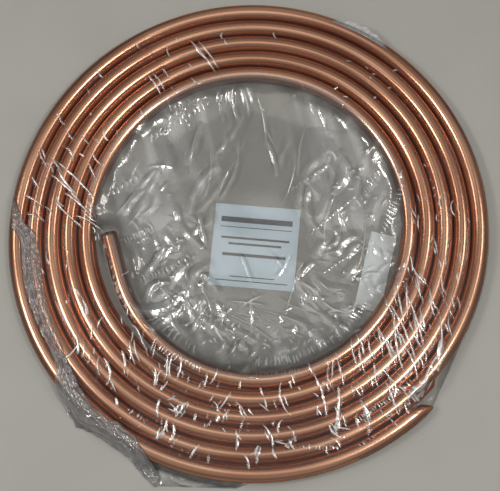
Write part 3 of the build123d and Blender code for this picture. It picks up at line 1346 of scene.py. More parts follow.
    # x and y, radius, count, stroke, height, width, lean and spread
    clusters: tuple[CreaseCluster, ...] = from_rows(
        CreaseCluster, 1,
        (133, -16, 10.0, 14, 4.0), (102, -118, 12.0, 14, 5.0), (-35, -120, 26.0, 30, 6.0),
        (-80, -100, 24.0, 18, 6.0), (35, -140, 24.0, 26, 7.0, 0.8, 1.1, 105.0),
        (80, -130, 18.0, 20, 6.0, 0.8, 1.1, 60.0), (-140, -10, 24.0, 10, 6.0),
        (-90, 140, 22.0, 14, 6.0, 0.9, 1.1, 110.0), (10, -100, 26.0, 16, 7.0, 0.5, 1.1, 20.0, 60.0),
        (120, 60, 24.0, 8, 5.0), (140, -60, 26.0, 10, 6.0),
        # Broad soft folds, which give the film its silvery streaks
        (-95, 50, 50.0, 8, 50.0, 2.4, 7.0, 66.0, 10.0), (-100, -10, 46.0, 8, 30.0, 2.4, 5.0, -62.0, 16.0),
        (-85, -72, 42.0, 10, 34.0, 3.4, 7.0, 58.0, 22.0), (-60, -100, 40.0, 7, 30.0, 3.0, 6.5, -60.0, 22.0),
        (5, -122, 46.0, 9, 34.0, 3.0, 7.0, 50.0, 60.0), (85, -92, 42.0, 7, 44.0, 2.8, 7.0, -40.0, 18.0),
        (105, -30, 40.0, 6, 36.0, 2.8, 6.5, 66.0, 14.0), (110, 40, 44.0, 5, 50.0, 2.6, 7.0, 78.0, 10.0),
        (62, 75, 44.0, 7, 54.0, 2.0, 6.5, 74.0, 8.0), (-48, 100, 40.0, 6, 50.0, 2.0, 6.5, 70.0, 10.0),
        (146, -44, 26.0, 12, 16.0, 1.8, 3.0, 80.0, 30.0),
        # Short sharp ones between them
        (-100, -50, 50.0, 36, 7.0, 0.9, 1.1, 62.0, 45.0), (-95, 60, 60.0, 5, 9.0, 0.8, 1.1, 62.0, 25.0),
        (0, -128, 56.0, 24, 7.0, 0.9, 1.1, 75.0, 55.0), (95, -80, 52.0, 18, 8.0, 0.9, 1.1, -60.0, 40.0),
        (125, 20, 44.0, 12, 7.0, 0.8, 1.1, 70.0, 40.0),
    )

    def lift(self, x: np.ndarray, y: np.ndarray) -> tuple[np.ndarray, np.ndarray]:
        """How far all of them lift the film, and how milky they make it.

        Args:
            x: plan coordinates.
            y: plan coordinates.

        Returns:
            The lifts, and the milkiness from 0 to 1.
        """
        creases = all_creases(self.seed, self.singles, *self.rows, *self.clusters)
        narrow = lift_of([c for c in creases if c.width < self.narrow], x, y, Profile.RIDGE)
        wide = lift_of([c for c in creases if c.width >= self.narrow], x, y, Profile.TENT)
        # The milk along the creases is partly their own whitening and partly painted glint and sheen
        return narrow + wide, 0.6 * smoothstep(0.3, 0.9, narrow) + 0.11 * smoothstep(0.2, 1.6, wide)


@dataclass
class TurnCreases:
    """The thin folds of the film over the turns."""

    seed: int = 9
    # x and y of each end, height, width and bow
    singles: tuple[Crease, ...] = from_rows(
        Crease, 2,
        # Upper left, three turns long
        (-84, 230, -49, 186, 1.6, 0.9, 2.0), (-79, 226, -61, 204, 1.5, 0.9, -1.5),
        (-74, 229, -45, 190, 1.4, 0.9, 2.0), (-132, 183, -113, 156, 1.6, 0.9, 1.5),
        (-127, 186, -109, 160, 1.4, 0.9, 2.5),
        # Left
        (-237, 74, -178, 18, 1.4, 0.9, 3.0), (-231, 62, -204, 29, 1.6, 0.9, -2.0),
        (-240, 56, -196, 14, 1.4, 0.9, 3.0), (-222, 34, -184, 2, 1.4, 0.9, 2.0),
        (-207, 6, -172, -12, 1.4, 0.9, 2.0), (-232, 24, -196, -8, 1.4, 0.9, -2.0),
        # Lower left
        (-161, -159, -155, -190, 1.7, 1.0, 5.0), (-133, -138, -124, -167, 1.5, 0.9, -2.0),
        (-128, -136, -119, -164, 1.5, 0.9, -2.0), (-141, -150, -136, -170, 1.8, 1.4, 1.0),
        (-91, -157, -91, -182, 1.5, 0.9, 2.0), (-84, -155, -85, -179, 1.6, 1.0, -2.0),
        (-74, -152, -78, -181, 1.5, 0.9, 2.0), (-102, -169, -103, -191, 1.4, 0.9, 1.0),
        (-85, -223, -99, -248, 1.6, 1.0, 3.0), (-95, -202, -96, -224, 1.6, 1.0, -2.0),
        (-144, -203, -142, -212, 1.8, 1.4), (-194, -135, -190, -156, 1.7, 1.2, 1.0),
        (-190, -94, -182, -112, 1.5, 0.9, 2.0),
        # Bottom and lower right
        (19, -227, 31, -252, 1.6, 1.0, 4.0), (38, -180, 50, -217, 1.5, 0.9, -5.0),
        (59, -144, 73, -172, 1.5, 0.9, 2.0), (73, -168, 89, -218, 1.6, 1.0, 4.0),
        (102, -182, 98, -231, 1.8, 1.2, 3.0), (126, -130, 130, -148, 1.6, 0.9, 1.0),
        (144, -114, 162, -154, 1.6, 0.9, 2.0), (157, -86, 188, -155, 1.6, 0.9, 4.0),
        (164, -93, 173, -160, 1.5, 0.9, -3.0), (175, -72, 197, -140, 1.6, 0.9, 3.0),
        (166, -127, 175, -165, 1.6, 0.9, -2.0), (215, -103, 215, -146, 1.6, 1.0, 2.0),
        (216, -128, 213, -152, 2.6, 2.4, 0.0),
        # From the nose across to the turn inside it
        (196, -178, 214, -142, 1.6, 1.4, 2.0), (200, -186, 224, -152, 1.6, 1.2, 2.0),
        (188, -190, 202, -166, 1.8, 1.6, -2.0), (178, -196, 196, -178, 1.8, 1.6, 2.0),
    )
    # x and y of each end, count, stroke, lean, height, width and fan
    rows: tuple[CreaseRow, ...] = from_rows(
        CreaseRow, 2,
        (124, -219, 188, -171, 24, 6.5, 122.0, 1.1, 0.9), (46, -250, 101, -250, 16, 6.0, 98.0, 1.1, 0.9),
        (127, -247, 144, -234, 6, 6.0, 120.0, 1.1, 0.9),
        (12, -171, 58, -166, 13, 7.0, 92.0, 1.1, 0.9, 20.0), (159, -72, 177, -60, 6, 6.0, 150.0, 1.0, 0.9),
        (-193, 186, -142, 231, 14, 5.0, 130.0, 0.9, 0.9),
        (-98, -146, -52, -169, 13, 8.0, 66.0, 1.2, 0.9, 40.0),
        (-130, -216, -112, -226, 6, 6.0, 60.0, 1.1, 0.9, 40.0),
        (140, 190, 205, 128, 8, 5.0, 20.0, 0.9, 0.9, 30.0),
        (206, 60, 226, -20, 9, 6.0, 60.0, 0.9, 0.9, 60.0),
    )
    # x and y, radius, count, stroke, height, width, lean and spread
    clusters: tuple[CreaseCluster, ...] = from_rows(
        CreaseCluster, 1,
        (-73, -206, 12.0, 10, 15.0, 1.4, 0.9, 60.0, 40.0), (-88, -241, 8.0, 6, 13.0, 1.4, 0.9, 60.0, 50.0),
        (101, -228, 7.0, 5, 14.0, 1.5, 0.9, 90.0, 35.0), (46, -243, 9.0, 6, 13.0, 1.3, 0.9, 30.0, 45.0),
        (13, -259, 7.0, 4, 12.0, 1.4, 0.9, 60.0, 50.0), (192, -184, 9.0, 14, 9.0, 1.5, 1.1, 60.0, 40.0),
        (-30, -214, 12.0, 10, 8.0, 1.3, 1.0, 80.0, 30.0),
    )
    # Plan angles, count, lean, radii, least and most length, spread, height and width
    zones: tuple[StrandZone, ...] = (
        StrandZone((296, 322), 46, -70.0),
        StrandZone((322, 345), 46, -76.0),
        StrandZone((316, 334), 12, -62.0, (270.0, 287.0), (8.0, 22.0), 10.0),
        StrandZone((345, 372), 24, -84.0, (182.0, 275.0), (6.0, 24.0)),
        StrandZone((268, 296), 36, -66.0, (180.0, 276.0), (6.0, 22.0), 16.0),
        StrandZone((242, 270), 40, 74.0, (168.0, 270.0), (6.0, 30.0), 16.0, 1.4, 0.8),
        StrandZone((212, 242), 34, 98.0, (168.0, 266.0), (6.0, 28.0), 18.0, 1.4, 0.8),
        StrandZone((180, 212), 16, 112.0, (176.0, 264.0), (5.0, 20.0), 14.0),
        StrandZone((150, 180), 30, -48.0, (178.0, 270.0), (8.0, 34.0), 10.0),
        StrandZone((112, 150), 16, -58.0, (178.0, 278.0), (5.0, 22.0), 10.0),
        StrandZone((70, 112), 8, -70.0, (178.0, 278.0), (4.0, 14.0), 14.0),
        StrandZone((20, 70), 16, 20.0, (178.0, 278.0), (4.0, 12.0), 40.0),
    )

    def lift(self, x: np.ndarray, y: np.ndarray) -> np.ndarray:
        """How far they lift the film at points of the plan."""
        creases = all_creases(self.seed, self.singles, *self.rows, *self.clusters, *self.zones)
        return lift_of(creases, x, y, Profile.RIDGE)


@dataclass
class FilmBag:
    """The closed bag: a top sheet over the coil, a sheet under it, and the gathered hem with its apron."""

    drape: Drape = field(default_factory=Drape)
    creases: EyeCreases = field(default_factory=EyeCreases)
    strands: TurnCreases = field(default_factory=TurnCreases)
    eye_cells: tuple[int, int] = (192, 384)
    turn_cells: tuple[int, int] = (66, 1400)
    hem_cells: tuple[int, int] = (44, 560)
    apron_cells: tuple[int, int] = (56, 300)
    under_cells: tuple[int, int] = (90, 90)
    fold_cells: tuple[int, int] = (16, 100)
    # The under sheet: its height, and how far it reaches past the outermost crest
    under_height: float = 0.1
    under_reach: float = 4.0
    # The outer ring's part that goes down the outside: its share of the cells, its turn and its end height
    skirt: float = 0.26
    wrap_turn: float = 150.0
    wrap_end: float = 0.25
    # Heights between which the small creases flatten out towards the crests
    crown: tuple[float, float] = (14.5, 19.5)
    # How wrinkled the film over the turns is, by plan angle: least at the top
    strengths: tuple[tuple[float, float], ...] = (
        (300, 0.35), (315, 0.55), (335, 0.50), (355, 0.2), (375, -0.05), (395, -0.3), (420, -0.4),
        (460, -0.35), (480, -0.2), (500, -0.15), (525, 0.1), (550, 0.2), (580, 0.35), (620, 0.45),
        (640, 0.35), (660, 0.35))
    # How much it is creased where it leaves the innermost turn, in the same way
    chatters: tuple[tuple[float, float], ...] = (
        (300, 0.35), (330, 0.3), (350, 0.2), (375, 0.0), (400, 0.0), (440, 0.3), (500, 0.25), (540, 0.1),
        (580, 0.2), (610, 0.4), (660, 0.35))
    # Where the eye's milky bands and painted sheen are stronger or weaker: plan point, reach and how much
    sheen_moods: tuple[tuple[float, float, float, float], ...] = (
        (-10, 120, 60, -0.9), (4, -22, 58, -2.0), (-105, 10, 50, 0.8), (-85, -75, 45, 0.1), (98, 30, 40, 0.8),
        (-10, -130, 50, -0.4), (146, -46, 36, -3.0))
    # The hem's inner and outer edges, as plan angle and distance from the winding centre
    hem_inner: tuple[tuple[float, float], ...] = (
        (175, 279), (180, 267), (184, 251), (190, 246), (197, 248), (205, 252), (214, 254), (220, 260),
        (226, 267), (231, 273), (239, 270), (244, 273), (247, 282), (252, 300))
    hem_outer: tuple[tuple[float, float], ...] = (
        (175, 281), (182, 279), (186, 268), (200, 270), (213, 269), (219, 273), (222, 289), (227, 297),
        (231, 302), (234, 298), (238, 294), (245, 296), (247, 304), (252, 314))
    # The apron's edge on the floor, in the same way
    apron_edge: tuple[tuple[float, float], ...] = (
        (220, 279), (228, 300), (240, 296), (248, 303), (251.5, 313.6), (268.3, 297.4), (279, 279))
    # Plan angles between which the loose fold lies
    fold_angles: tuple[float, float] = (55.0, 71.0)
    # Independent noise patterns, which the sheets tell apart by their number
    noises: tuple[Noise, ...] = field(default_factory=lambda: tuple(Noise(seed) for seed in range(11, 31)))

    def build(self, clear: FilmFinish, stretched: FilmFinish,
              gathered: FilmFinish) -> list[bpy.types.Object]:
        """Makes every sheet of the bag and dresses it.

        Args:
            clear: the finish where the film lies loose.
            stretched: the finish where it is taut over the turns.
            gathered: the finish of the hem.

        Returns:
            The sheets.
        """
        pieces = [
            self.eye_sheet("film_eye_west", 0.0),
            self.eye_sheet("film_eye_east", 0.5),
            self.turn_sheet("film_inner_turns", 0.0, 0.5),
            self.turn_sheet("film_outer_turns", 0.5, 1.0),
            self.under_sheet(),
            self.hem(),
            self.apron(),
            self.fold(),
        ]
        loose, taut = clear.build("clear_film"), stretched.build("taut_film")
        frosted = gathered.build("frosted_film")
        under = UnderFinish().build("under_film")
        special = {"film_inner_turns": taut, "film_outer_turns": taut, "film_hem": frosted,
                   "film_under": under}
        for piece in pieces:
            piece.data.materials.append(special.get(piece.name, loose))
            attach(piece, "root")
        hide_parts("film_bag")
        return pieces

    def wrinkles(self, angle: np.ndarray, radius: np.ndarray) -> tuple[np.ndarray, np.ndarray]:
        """Creases that cross the turns.

        Args:
            angle: plan angles from the seam up to a full turn more.
            radius: distances from the winding centre.

        Returns:
            How far the film is lifted, and how strongly it is wrinkled from 0 to 1.
        """
        n = self.noises
        round_part = share_round(angle)
        x, y = plan(angle, radius)
        patch = smoothstep(-0.2, 0.4, n[0](x / 55.0, y / 55.0) + interpolated(angle, self.strengths))
        lean = 0.9 * n[1](round_part * 12, radius / 70.0, 12)
        fine = ridges(n[2](round_part * 250 + lean * 3.0, radius / 34.0, 250), 5.5)
        curls = ridges(n[15](x / 9.0, y / 9.0 + 0.6 * n[6](x / 14.0, y / 14.0)), 6.0)
        curls = curls * smoothstep(0.05, 0.35, n[16](x / 20.0, y / 20.0))
        return patch * (0.16 * fine + 0.3 * curls), patch

    def eye_relief(self, x: np.ndarray, y: np.ndarray, inside: np.ndarray) -> tuple[np.ndarray, np.ndarray]:
        """Pillows, folds and creases of the film in the eye.

        Args:
            x: plan coordinates.
            y: plan coordinates.
            inside: distance from the innermost crest, inwards.

        Returns:
            How far the film is lifted, and how milky the creases make it.
        """
        lift, milk = self.creases.lift(x, y)
        pillow = 2.4 * np.maximum(self.noises[4](x / 58.0, y / 58.0) + 0.2, 0.0)
        return smoothstep(2.0, 34.0, inside) * pillow + lift, milk

    def milk_sheen_level(self, x: np.ndarray, y: np.ndarray) -> np.ndarray:
        """How much more or less milky haze and painted sheen than elsewhere lies in parts of the eye.

        Args:
            x: plan coordinates.
            y: plan coordinates.

        Returns:
            What is added to the milky bands there.
        """
        total = np.zeros_like(x)
        for px, py, reach, level in self.sheen_moods:
            total = total + level * np.exp(-((x - px) ** 2 + (y - py) ** 2) / reach**2)
        return total

    def chatter(self, angle: np.ndarray, inside: np.ndarray) -> np.ndarray:
        """Short creases square to the innermost turn, where the film leaves it.

        Args:
            angle: plan angles from the seam up to a full turn more.
            inside: distance from the innermost crest, inwards.

        Returns:
            How far the film is lifted.
        """
        n = self.noises
        round_part = share_round(angle)
        level = interpolated(angle, self.chatters)
        patch = smoothstep(-0.15, 0.3, n[9](round_part * 26, inside / 90.0, 26) + level - 0.15)
        lean = 1.5 * n[18](round_part * 30, inside / 30.0, 30)
        row = ridges(n[10](round_part * 190 + lean, inside / 20.0, 190), 5.0)
        return 0.2 * patch * row * smoothstep(5.0, 12.0, inside) * (1.0 - smoothstep(18.0, 34.0, inside))

    def hug(self, angle: np.ndarray, radius: np.ndarray) -> np.ndarray:
        """How far from a crest the film touches its tube, which sets how deep it sags beside it.

        Args:
            angle: plan angles from the seam up to a full turn more.
            radius: distances from the winding centre.

        Returns:
            The distances on each side of a crest.
        """
        n = self.noises
        round_part = share_round(angle)
        slow = 0.5 * n[11](round_part * 70, radius / 18.0, 70)
        return self.drape.hug + slow + 0.3 * n[0](round_part * 200, radius / 15.0, 200)

    def top_height(self, angle: np.ndarray, radius: np.ndarray) -> tuple[np.ndarray, np.ndarray]:
        """Height and milkiness of the top film at plan points.

        Args:
            angle: plan angles from the seam up to a full turn more.
            radius: distances from the winding centre.

        Returns:
            The heights, and the milkiness from 0 to 1.
        """
        x, y = plan(angle, radius)
        inside = self.drape.rim(angle) - radius
        wavy = 0.5 * self.noises[12](x / 9.0, y / 9.0) + 3.5 * self.noises[13](x / 30.0, y / 30.0)
        wavy = wavy * smoothstep(7.0, 16.0, inside) * (1.0 - smoothstep(24.0, 44.0, inside))
        base = self.drape.height(angle, radius + wavy, self.hug(angle, radius))
        lift, patch = self.wrinkles(angle, radius)
        on_turns = 1.0 - smoothstep(2.0, 12.0, inside)
        crown = np.clip((base - self.crown[0]) / (self.crown[1] - self.crown[0]), 0.0, 1.0)
        strand = np.zeros_like(x)
        if np.any(on_turns > 0.0):
            past_crest = smoothstep(-5.0, 1.0, radius - self.drape.crest(angle))
            strand = self.strands.lift(x, y) * (1.0 - past_crest)
        height = base + (lift * (1.0 - 0.85 * crown) + strand) * on_turns
        # Milky white along the strands: partly the folds' own whitening, partly a painted glint
        milk = (0.01 * patch + 0.92 * smoothstep(0.35, 1.0, strand)) * on_turns
        if np.any(inside > 0.0):
            eye, creased = self.eye_relief(x, y, inside)
            height = height + np.where(inside > 0.0, eye + self.chatter(angle, inside), 0.0)
            milk = milk + np.where(inside > 0.0, self.bands(x, y, inside) + creased, 0.0)
        return height, milk

    def bands(self, x: np.ndarray, y: np.ndarray, inside: np.ndarray) -> np.ndarray:
        """Faint milky bands and clouds in the eye: partly the haze of the doubled film, partly a painted
        sheen.

        Args:
            x: plan coordinates.
            y: plan coordinates.
            inside: distance from the innermost crest, inwards.

        Returns:
            The milkiness that they add.
        """
        n = self.noises
        streak = n[19](x / 15.0 + 0.3 * y / 15.0, y / 75.0) + 0.4 * n[8](x / 40.0, y / 40.0)
        # Painted sheen: whitish diffuse bands stand in for the film's broad reflections
        cloud = smoothstep(-0.5, 0.9, streak + self.milk_sheen_level(x, y))
        return 0.26 * cloud * smoothstep(4.0, 30.0, inside)

    def eye_sheet(self, name: str, start: float) -> bpy.types.Object:
        """One half of the top film inside the innermost crest.

        Args:
            name: the piece's name.
            start: where the half starts across the eye, 0 or 0.5.

        Returns:
            The sheet.
        """

        def place(u: np.ndarray, v: np.ndarray) -> tuple:
            """Bends the grid into a half disc, then drapes it.

            Args:
                u: grid coordinate across the sheet.
                v: grid coordinate along the sheet.

            Returns:
                x, y, z and the milkiness.
            """
            angle, share = disc(start + 0.5 * u, v)
            radius = share * self.drape.rim(angle)
            return *plan(angle, radius), *self.top_height(angle, radius)

        piece = sheet_grid(name, *self.eye_cells, place)
        return piece

    def turn_sheet(self, name: str, low: float, high: float) -> bpy.types.Object:
        """A ring of the top film over the turns; the outer one goes down the outside and under.

        Args:
            name: the piece's name.
            low: where it starts, from 0 at the innermost crest to 1 at the outermost.
            high: where it ends.

        Returns:
            The sheet.
        """
        skirt = self.skirt if high >= 1.0 else 0.0

        def place(u: np.ndarray, v: np.ndarray) -> tuple:
            """Lays the grid over the turns, and wraps its last part round the outermost one.

            Args:
                u: grid coordinate across the sheet.
                v: grid coordinate along the sheet.

            Returns:
                x, y, z and the milkiness.
            """
            angle = np.where(v > 0.999999, SEAM, SEAM + FULL_TURN * v)
            rim, crest = self.drape.rim(angle), self.drape.crest(angle)
            flat_part = np.minimum(u / (1.0 - skirt), 1.0)
            radius = between(rim, crest, between(low, high, flat_part))
            height, milk = self.top_height(angle, radius)
            if skirt:
                wrap = np.clip((u - (1.0 - skirt)) / skirt, 0.0, 1.0)
                edge = self.drape.outside(angle)
                turn = np.radians(self.wrap_turn * wrap)
                drop = (1.0 - np.cos(turn)) / (1.0 - math.cos(math.radians(self.wrap_turn)))
                flare, _ = self.wrinkles(angle, edge + 20.0 * wrap)
                out = np.sin(turn) * (edge - crest) * (1.0 + 0.05 * flare * np.sin(turn))
                radius = np.where(wrap > 0.0, crest + out, radius)
                height = np.where(wrap > 0.0, between(height, self.wrap_end, drop), height)
            return *plan(angle, radius), height, milk

        piece = sheet_grid(name, *self.turn_cells, place, joined=True)
        return piece

    def under_sheet(self) -> bpy.types.Object:
        """The film between the coil and the floor, as a disc that ends under the outermost turn.

        Returns:
            The sheet.
        """

        def place(u: np.ndarray, v: np.ndarray) -> tuple:
            """Bends the grid into a disc, just above the floor.

            Args:
                u: grid coordinate across the sheet.
                v: grid coordinate along the sheet.

            Returns:
                x, y, z and the milkiness.
            """
            angle, share = disc(u, v)
            x, y = plan(angle, share * (self.drape.crest(angle) + self.under_reach))
            ripple = 0.12 * ridges(self.noises[5](x / 30.0, y / 30.0), 6.0)
            return x, y, self.under_height + ripple, 0.0 * x

        piece = sheet_grid("film_under", *self.under_cells, place)
        return piece

    def shoulder(self, angle: np.ndarray, radius: np.ndarray) -> np.ndarray:
        """Height of loose film over the outer turns, their shoulder and the floor beside them.

        Args:
            angle: plan angles from the seam up to a full turn more.
            radius: distances from the winding centre.

        Returns:
            The heights.
        """
        off = radius - self.drape.winding.outer_turn(angle)
        over = self.drape.over(angle, radius, np.full_like(radius, 2.0))
        down = 1.0 + 18.8 * (1.0 - smoothstep(2.0, 24.0, off))
        return np.where(off < 2.0, over, np.minimum(over + 30.0 * smoothstep(2.0, 6.0, off), down))

    def hem(self) -> bpy.types.Object:
        """The gathered, milky open side of the bag, over the outer turns at the lower left.

        Returns:
            The sheet.
        """
        n = self.noises

        def place(u: np.ndarray, v: np.ndarray) -> tuple:
            """Lays a strip along the hem and crumples it.

            Args:
                u: grid coordinate across the sheet.
                v: grid coordinate along the sheet.

            Returns:
                x, y, z and the milkiness.
            """
            angle = between(self.hem_inner[0][0], self.hem_inner[-1][0], v)
            inner = interpolated(angle, self.hem_inner) + 1.6 * n[1](angle / 2.2, angle * 0.0)
            outer = interpolated(angle, self.hem_outer) + 1.8 * n[2](angle / 1.8, angle * 0.0 + 7.0)
            radius = between(inner, outer, u)
            x, y = plan(angle, radius)
            edge = np.sin(np.pi * u) ** 0.5
            crumple = 1.6 * np.abs(n[3](x / 12.0, y / 12.0)) + 1.1 * ridges(n[4](x / 9.0, y / 9.0), 4.0)
            pleats = ridges(n[6](u * 7.0 + 0.8 * n[5](angle / 5.0, u), angle / 7.0), 3.0)
            relief = edge * (0.4 + crumple + 2.0 * pleats)
            height = self.shoulder(angle + FULL_TURN, radius) + 0.5 + relief
            low = smoothstep(213.0, 230.0, angle)
            # Milkier along the pleats' crests: partly the gathered film's own frosting, partly a painted
            # glint
            milk = 0.30 + 0.28 * low + 0.42 * pleats + 0.25 * n[7](x / 9.0, y / 9.0)
            return x, y, height, milk * (0.6 + 0.4 * edge)

        piece = sheet_grid("film_hem", *self.hem_cells, place)
        return piece

    def apron(self) -> bpy.types.Object:
        """The spare film that lies on the floor beside the hem.

        Returns:
            The sheet.
        """
        n = self.noises

        def place(u: np.ndarray, v: np.ndarray) -> tuple:
            """Lays a strip from the side of the coil out to the bag's edge.

            Args:
                u: grid coordinate across the sheet.
                v: grid coordinate along the sheet.

            Returns:
                x, y, z and the milkiness.
            """
            angle = between(self.apron_edge[0][0], self.apron_edge[-1][0], v)
            inner = self.drape.outside(angle + FULL_TURN) - 1.0
            outer = np.maximum(polygon_edge(angle, self.apron_edge), inner + 0.5)
            radius = between(inner, outer, u)
            x, y = plan(angle, radius)
            pillow = 0.9 * np.maximum(n[9](x / 20.0, y / 20.0) + 0.2, 0.0)
            lift = pillow + 0.9 * ridges(n[10](x / 16.0, y / 16.0), 7.0)
            side = 7.0 * (1.0 - smoothstep(0.0, 12.0, radius - inner)) ** 2
            height = 0.35 + (lift + side) * smoothstep(0.0, 3.0, outer - radius)
            return x, y, height, 0.03 + 0.05 * smoothstep(0.2, 0.6, n[11](x / 12.0, y / 12.0))

        piece = sheet_grid("film_apron", *self.apron_cells, place)
        return piece

    def fold(self) -> bpy.types.Object:
        """The milky fold of film that stands a little proud of the outermost turn at the upper right.

        Returns:
            The sheet.
        """
        n = self.noises
        winding = self.drape.winding

        def place(u: np.ndarray, v: np.ndarray) -> tuple:
            """Lays a short strip on the outer shoulder of the turn.

            Args:
                u: grid coordinate across the sheet.
                v: grid coordinate along the sheet.

            Returns:
                x, y, z and the milkiness.
            """
            angle = between(*self.fold_angles, v)
            crest = winding.outer_turn(angle + FULL_TURN)
            taper = np.sin(np.pi * v) ** 0.6
            radius = crest + 2.0 + (12.5 + 2.0 * n[3](angle / 1.5, angle * 0.0)) * u * taper
            x, y = plan(angle, radius)
            off = np.minimum(radius - crest, 8.6)
            relief = taper * (0.8 * np.abs(n[4](x / 5.0, y / 5.0)) + 1.2 * u)
            height = self.drape.tube_top(off, np.full_like(radius, winding.tube_radius)) + 0.6 + relief
            return x, y, height, taper * (0.42 + 0.4 * np.maximum(n[5](x / 6.0, y / 6.0), 0.0))

        piece = sheet_grid("film_fold", *self.fold_cells, place)
        return piece


# Papers


@dataclass
class Paper:
    """A sheet of paper or card in the bag, nearly flat, with a slight curl."""

    name: str
    node: str
    slot: str
    size: tuple[float, float]
    centre: tuple[float, float]
    turn: float
    thickness: float = 0.3
    curl: float = 0.25
    ripple: float = 0.08
    ripple_length: float = 11.0
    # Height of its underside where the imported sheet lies, and how far it is held off the film there
    base: float = 0.45
    clearance: float = 0.05
    cells: int = 40

    def build(self, finish: PaperFinish) -> bpy.types.Object:
        """Makes the sheet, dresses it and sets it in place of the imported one.

        Args:
            finish: the paper's finish.

        Returns:
            The finished piece.
        """
        bm = bmesh.new()
        bmesh.ops.create_grid(bm, x_segments=self.cells, y_segments=self.cells, size=0.5)
        bmesh.ops.scale(bm, vec=(*self.size, 1.0), verts=bm.verts)
        for vert in bm.verts:
            across = vert.co.x / self.size[0] * 2.0
            vert.co.z = self.curl * (across**2) + self.ripple * math.sin(vert.co.y / self.ripple_length)
        bmesh.ops.solidify(bm, geom=bm.faces[:], thickness=self.thickness)
        bmesh.ops.recalc_face_normals(bm, faces=bm.faces)
        place = Matrix.Translation((*self.centre, self.base + self.thickness + self.clearance))
        turned = Matrix.Rotation(math.radians(self.turn), 4, "Z")
        bmesh.ops.transform(bm, matrix=place @ turned, space=Matrix.Identity(4), verts=bm.verts)
        piece = finish_mesh(bm, self.name, smooth=False)
        piece.data.materials.append(finish.build(self.name + "_paper"))
        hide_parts(self.node)
        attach(piece, "root")
        return piece


# Floor, lamps and camera


@dataclass(frozen=True)
class Lamp:
    """A round soft lamp that faces the coil."""

    name: str
    direction: tuple[float, float, float]
    power: float
    size: float
    distance: float = 1.8
    colour: tuple[float, float, float] = (1.0, 0.955, 0.88)

    def build(self) -> None:
        """Adds the lamp."""
        data = bpy.data.lights.new(self.name, "AREA")
        data.shape = "DISK"
        data.size = self.size
        data.energy = self.power
        data.color = self.colour
        lamp = bpy.data.objects.new(self.name, data)
        towards = Vector(self.direction).normalized()
        lamp.location = towards * self.distance
        lamp.rotation_euler = towards.to_track_quat("Z", "Y").to_euler()
        bpy.context.scene.collection.objects.link(lamp)


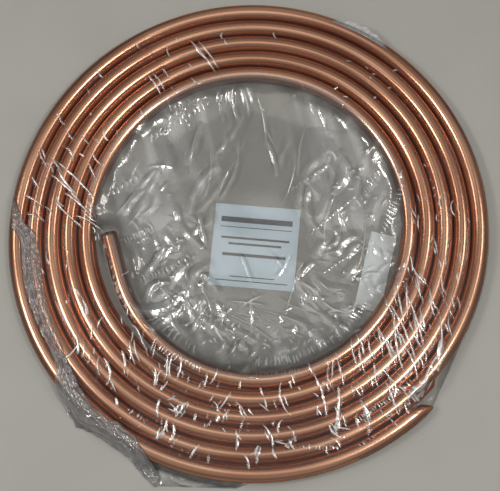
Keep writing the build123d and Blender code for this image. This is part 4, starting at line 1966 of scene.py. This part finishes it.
@dataclass
class Studio:
    """The plain floor, the lamps and the camera at the photograph's viewing angle."""

    floor_colour: tuple[float, float, float] = (0.36, 0.357, 0.338)
    floor_shade: float = 0.96
    floor_roughness: float = 0.6
    floor_half: float = 15000.0
    # Strength of the room's light low down and overhead
    horizon: float = 0.16
    zenith: float = 0.42
    lamps: tuple[Lamp, ...] = (
        Lamp("lamp_right", (0.39, -0.145, 0.91), 8.4, 0.34),
        Lamp("lamp_left", (-0.58, -0.08, 0.80), 8.4, 0.34),
        Lamp("lamp_right_side", (0.554, 0.196, 0.809), 2.2, 0.28),
        Lamp("lamp_left_side", (-0.646, 0.198, 0.737), 2.2, 0.28),
        Lamp("lamp_top", (-0.05, 0.02, 1.0), 1.5, 0.9),
    )
    camera_place: tuple[float, float, float] = (0.0365, -0.2839, 1.1049)
    camera_turn: tuple[float, float, float] = (13.450, 1.524, 1.915)
    lens: float = 69.98

    def build(self) -> None:
        """Adds the floor, the world, the lamps and the camera."""
        scene = bpy.context.scene
        bm = bmesh.new()
        bmesh.ops.create_grid(bm, x_segments=2, y_segments=2, size=self.floor_half)
        floor = finish_mesh(bm, "floor")
        n = Nodes("pale_floor")
        cloud = n.noise(n.coordinate(), 9.0, 4.0)
        shaded = tuple(c * self.floor_shade for c in self.floor_colour)
        pale = n.mix(n.ramp(cloud, 0.35, 0.65), shaded, self.floor_colour)
        shader = n.add("ShaderNodeBsdfPrincipled", {"Base Color": pale, "Roughness": self.floor_roughness})
        floor.data.materials.append(n.done(shader.outputs[0]))
        scene.world = self.room()
        scene.view_settings.view_transform = "Standard"
        for lamp in self.lamps:
            lamp.build()
        data = bpy.data.cameras.new("camera")
        data.lens = self.lens
        camera = bpy.data.objects.new("camera", data)
        camera.location = self.camera_place
        camera.rotation_euler = [math.radians(a) for a in self.camera_turn]
        scene.collection.objects.link(camera)
        scene.camera = camera

    def room(self) -> bpy.types.World:
        """A soft room, pale overhead and dimmer towards the horizon.

        Returns:
            The world.
        """
        world = bpy.data.worlds.new("studio")
        world.use_nodes = True
        nodes, links = world.node_tree.nodes, world.node_tree.links
        height = nodes.new("ShaderNodeSeparateXYZ")
        level = nodes.new("ShaderNodeMapRange")
        level.interpolation_type = "SMOOTHSTEP"
        links.new(nodes.new("ShaderNodeTexCoord").outputs["Generated"], height.inputs[0])
        links.new(height.outputs["Z"], level.inputs["Value"])
        limits = {"From Min": 0.1, "From Max": 0.9, "To Min": self.horizon, "To Max": self.zenith}
        for socket, value in limits.items():
            level.inputs[socket].default_value = value
        links.new(level.outputs["Result"], nodes["Background"].inputs["Strength"])
        nodes["Background"].inputs["Color"].default_value = (1.0, 1.0, 1.0, 1.0)
        return world


def main() -> None:
    """Builds the coil, its bag and papers, and the studio."""
    logging.basicConfig(level=logging.INFO, format="%(name)s: %(message)s")
    Studio().build()
    label = Paper("label", "label_card", "label_paper", (100.0, 98.5), (3.8, -22.4), -3.4)
    rules = ((0, 31, 42, 3.2), (0, 22, 42, 0.5), (0, 9, 40, 1.3), (0, 2, 31, 1.3), (0, -11, 37, 1.8),
             (0, -37, 26, 0.6), (0, -42, 42, 0.6))
    slip = Paper("slip", "paper_slip", "slip_paper", (30.0, 92.0), (144.56, -48.08), -12.3)
    pieces = [
        CopperTube().build(CopperFinish()),
        label.build(PaperFinish(rules=rules, centre=label.centre, turn=label.turn)),
        slip.build(PaperFinish(colour=(0.85, 0.91, 0.94), shade=(0.77, 0.83, 0.86))),
    ]
    taut = FilmFinish(gain=0.35, sheen_gain=0.04, crease_gain=9.0, haze=0.0, tint=(0.95, 0.95, 0.945),
                      milk_colour=(0.92, 0.93, 0.93), crinkle=0.00015)
    frosted = FilmFinish(gain=1.6, sheen_gain=0.3, crease_gain=1.6, milk_colour=(0.31, 0.30, 0.31))
    pieces += FilmBag().build(FilmFinish(), taut, frosted)
    for piece in pieces:
        log.info("%s: %d faces", piece.name, len(piece.data.polygons))


if __name__ == "__main__":
    main()
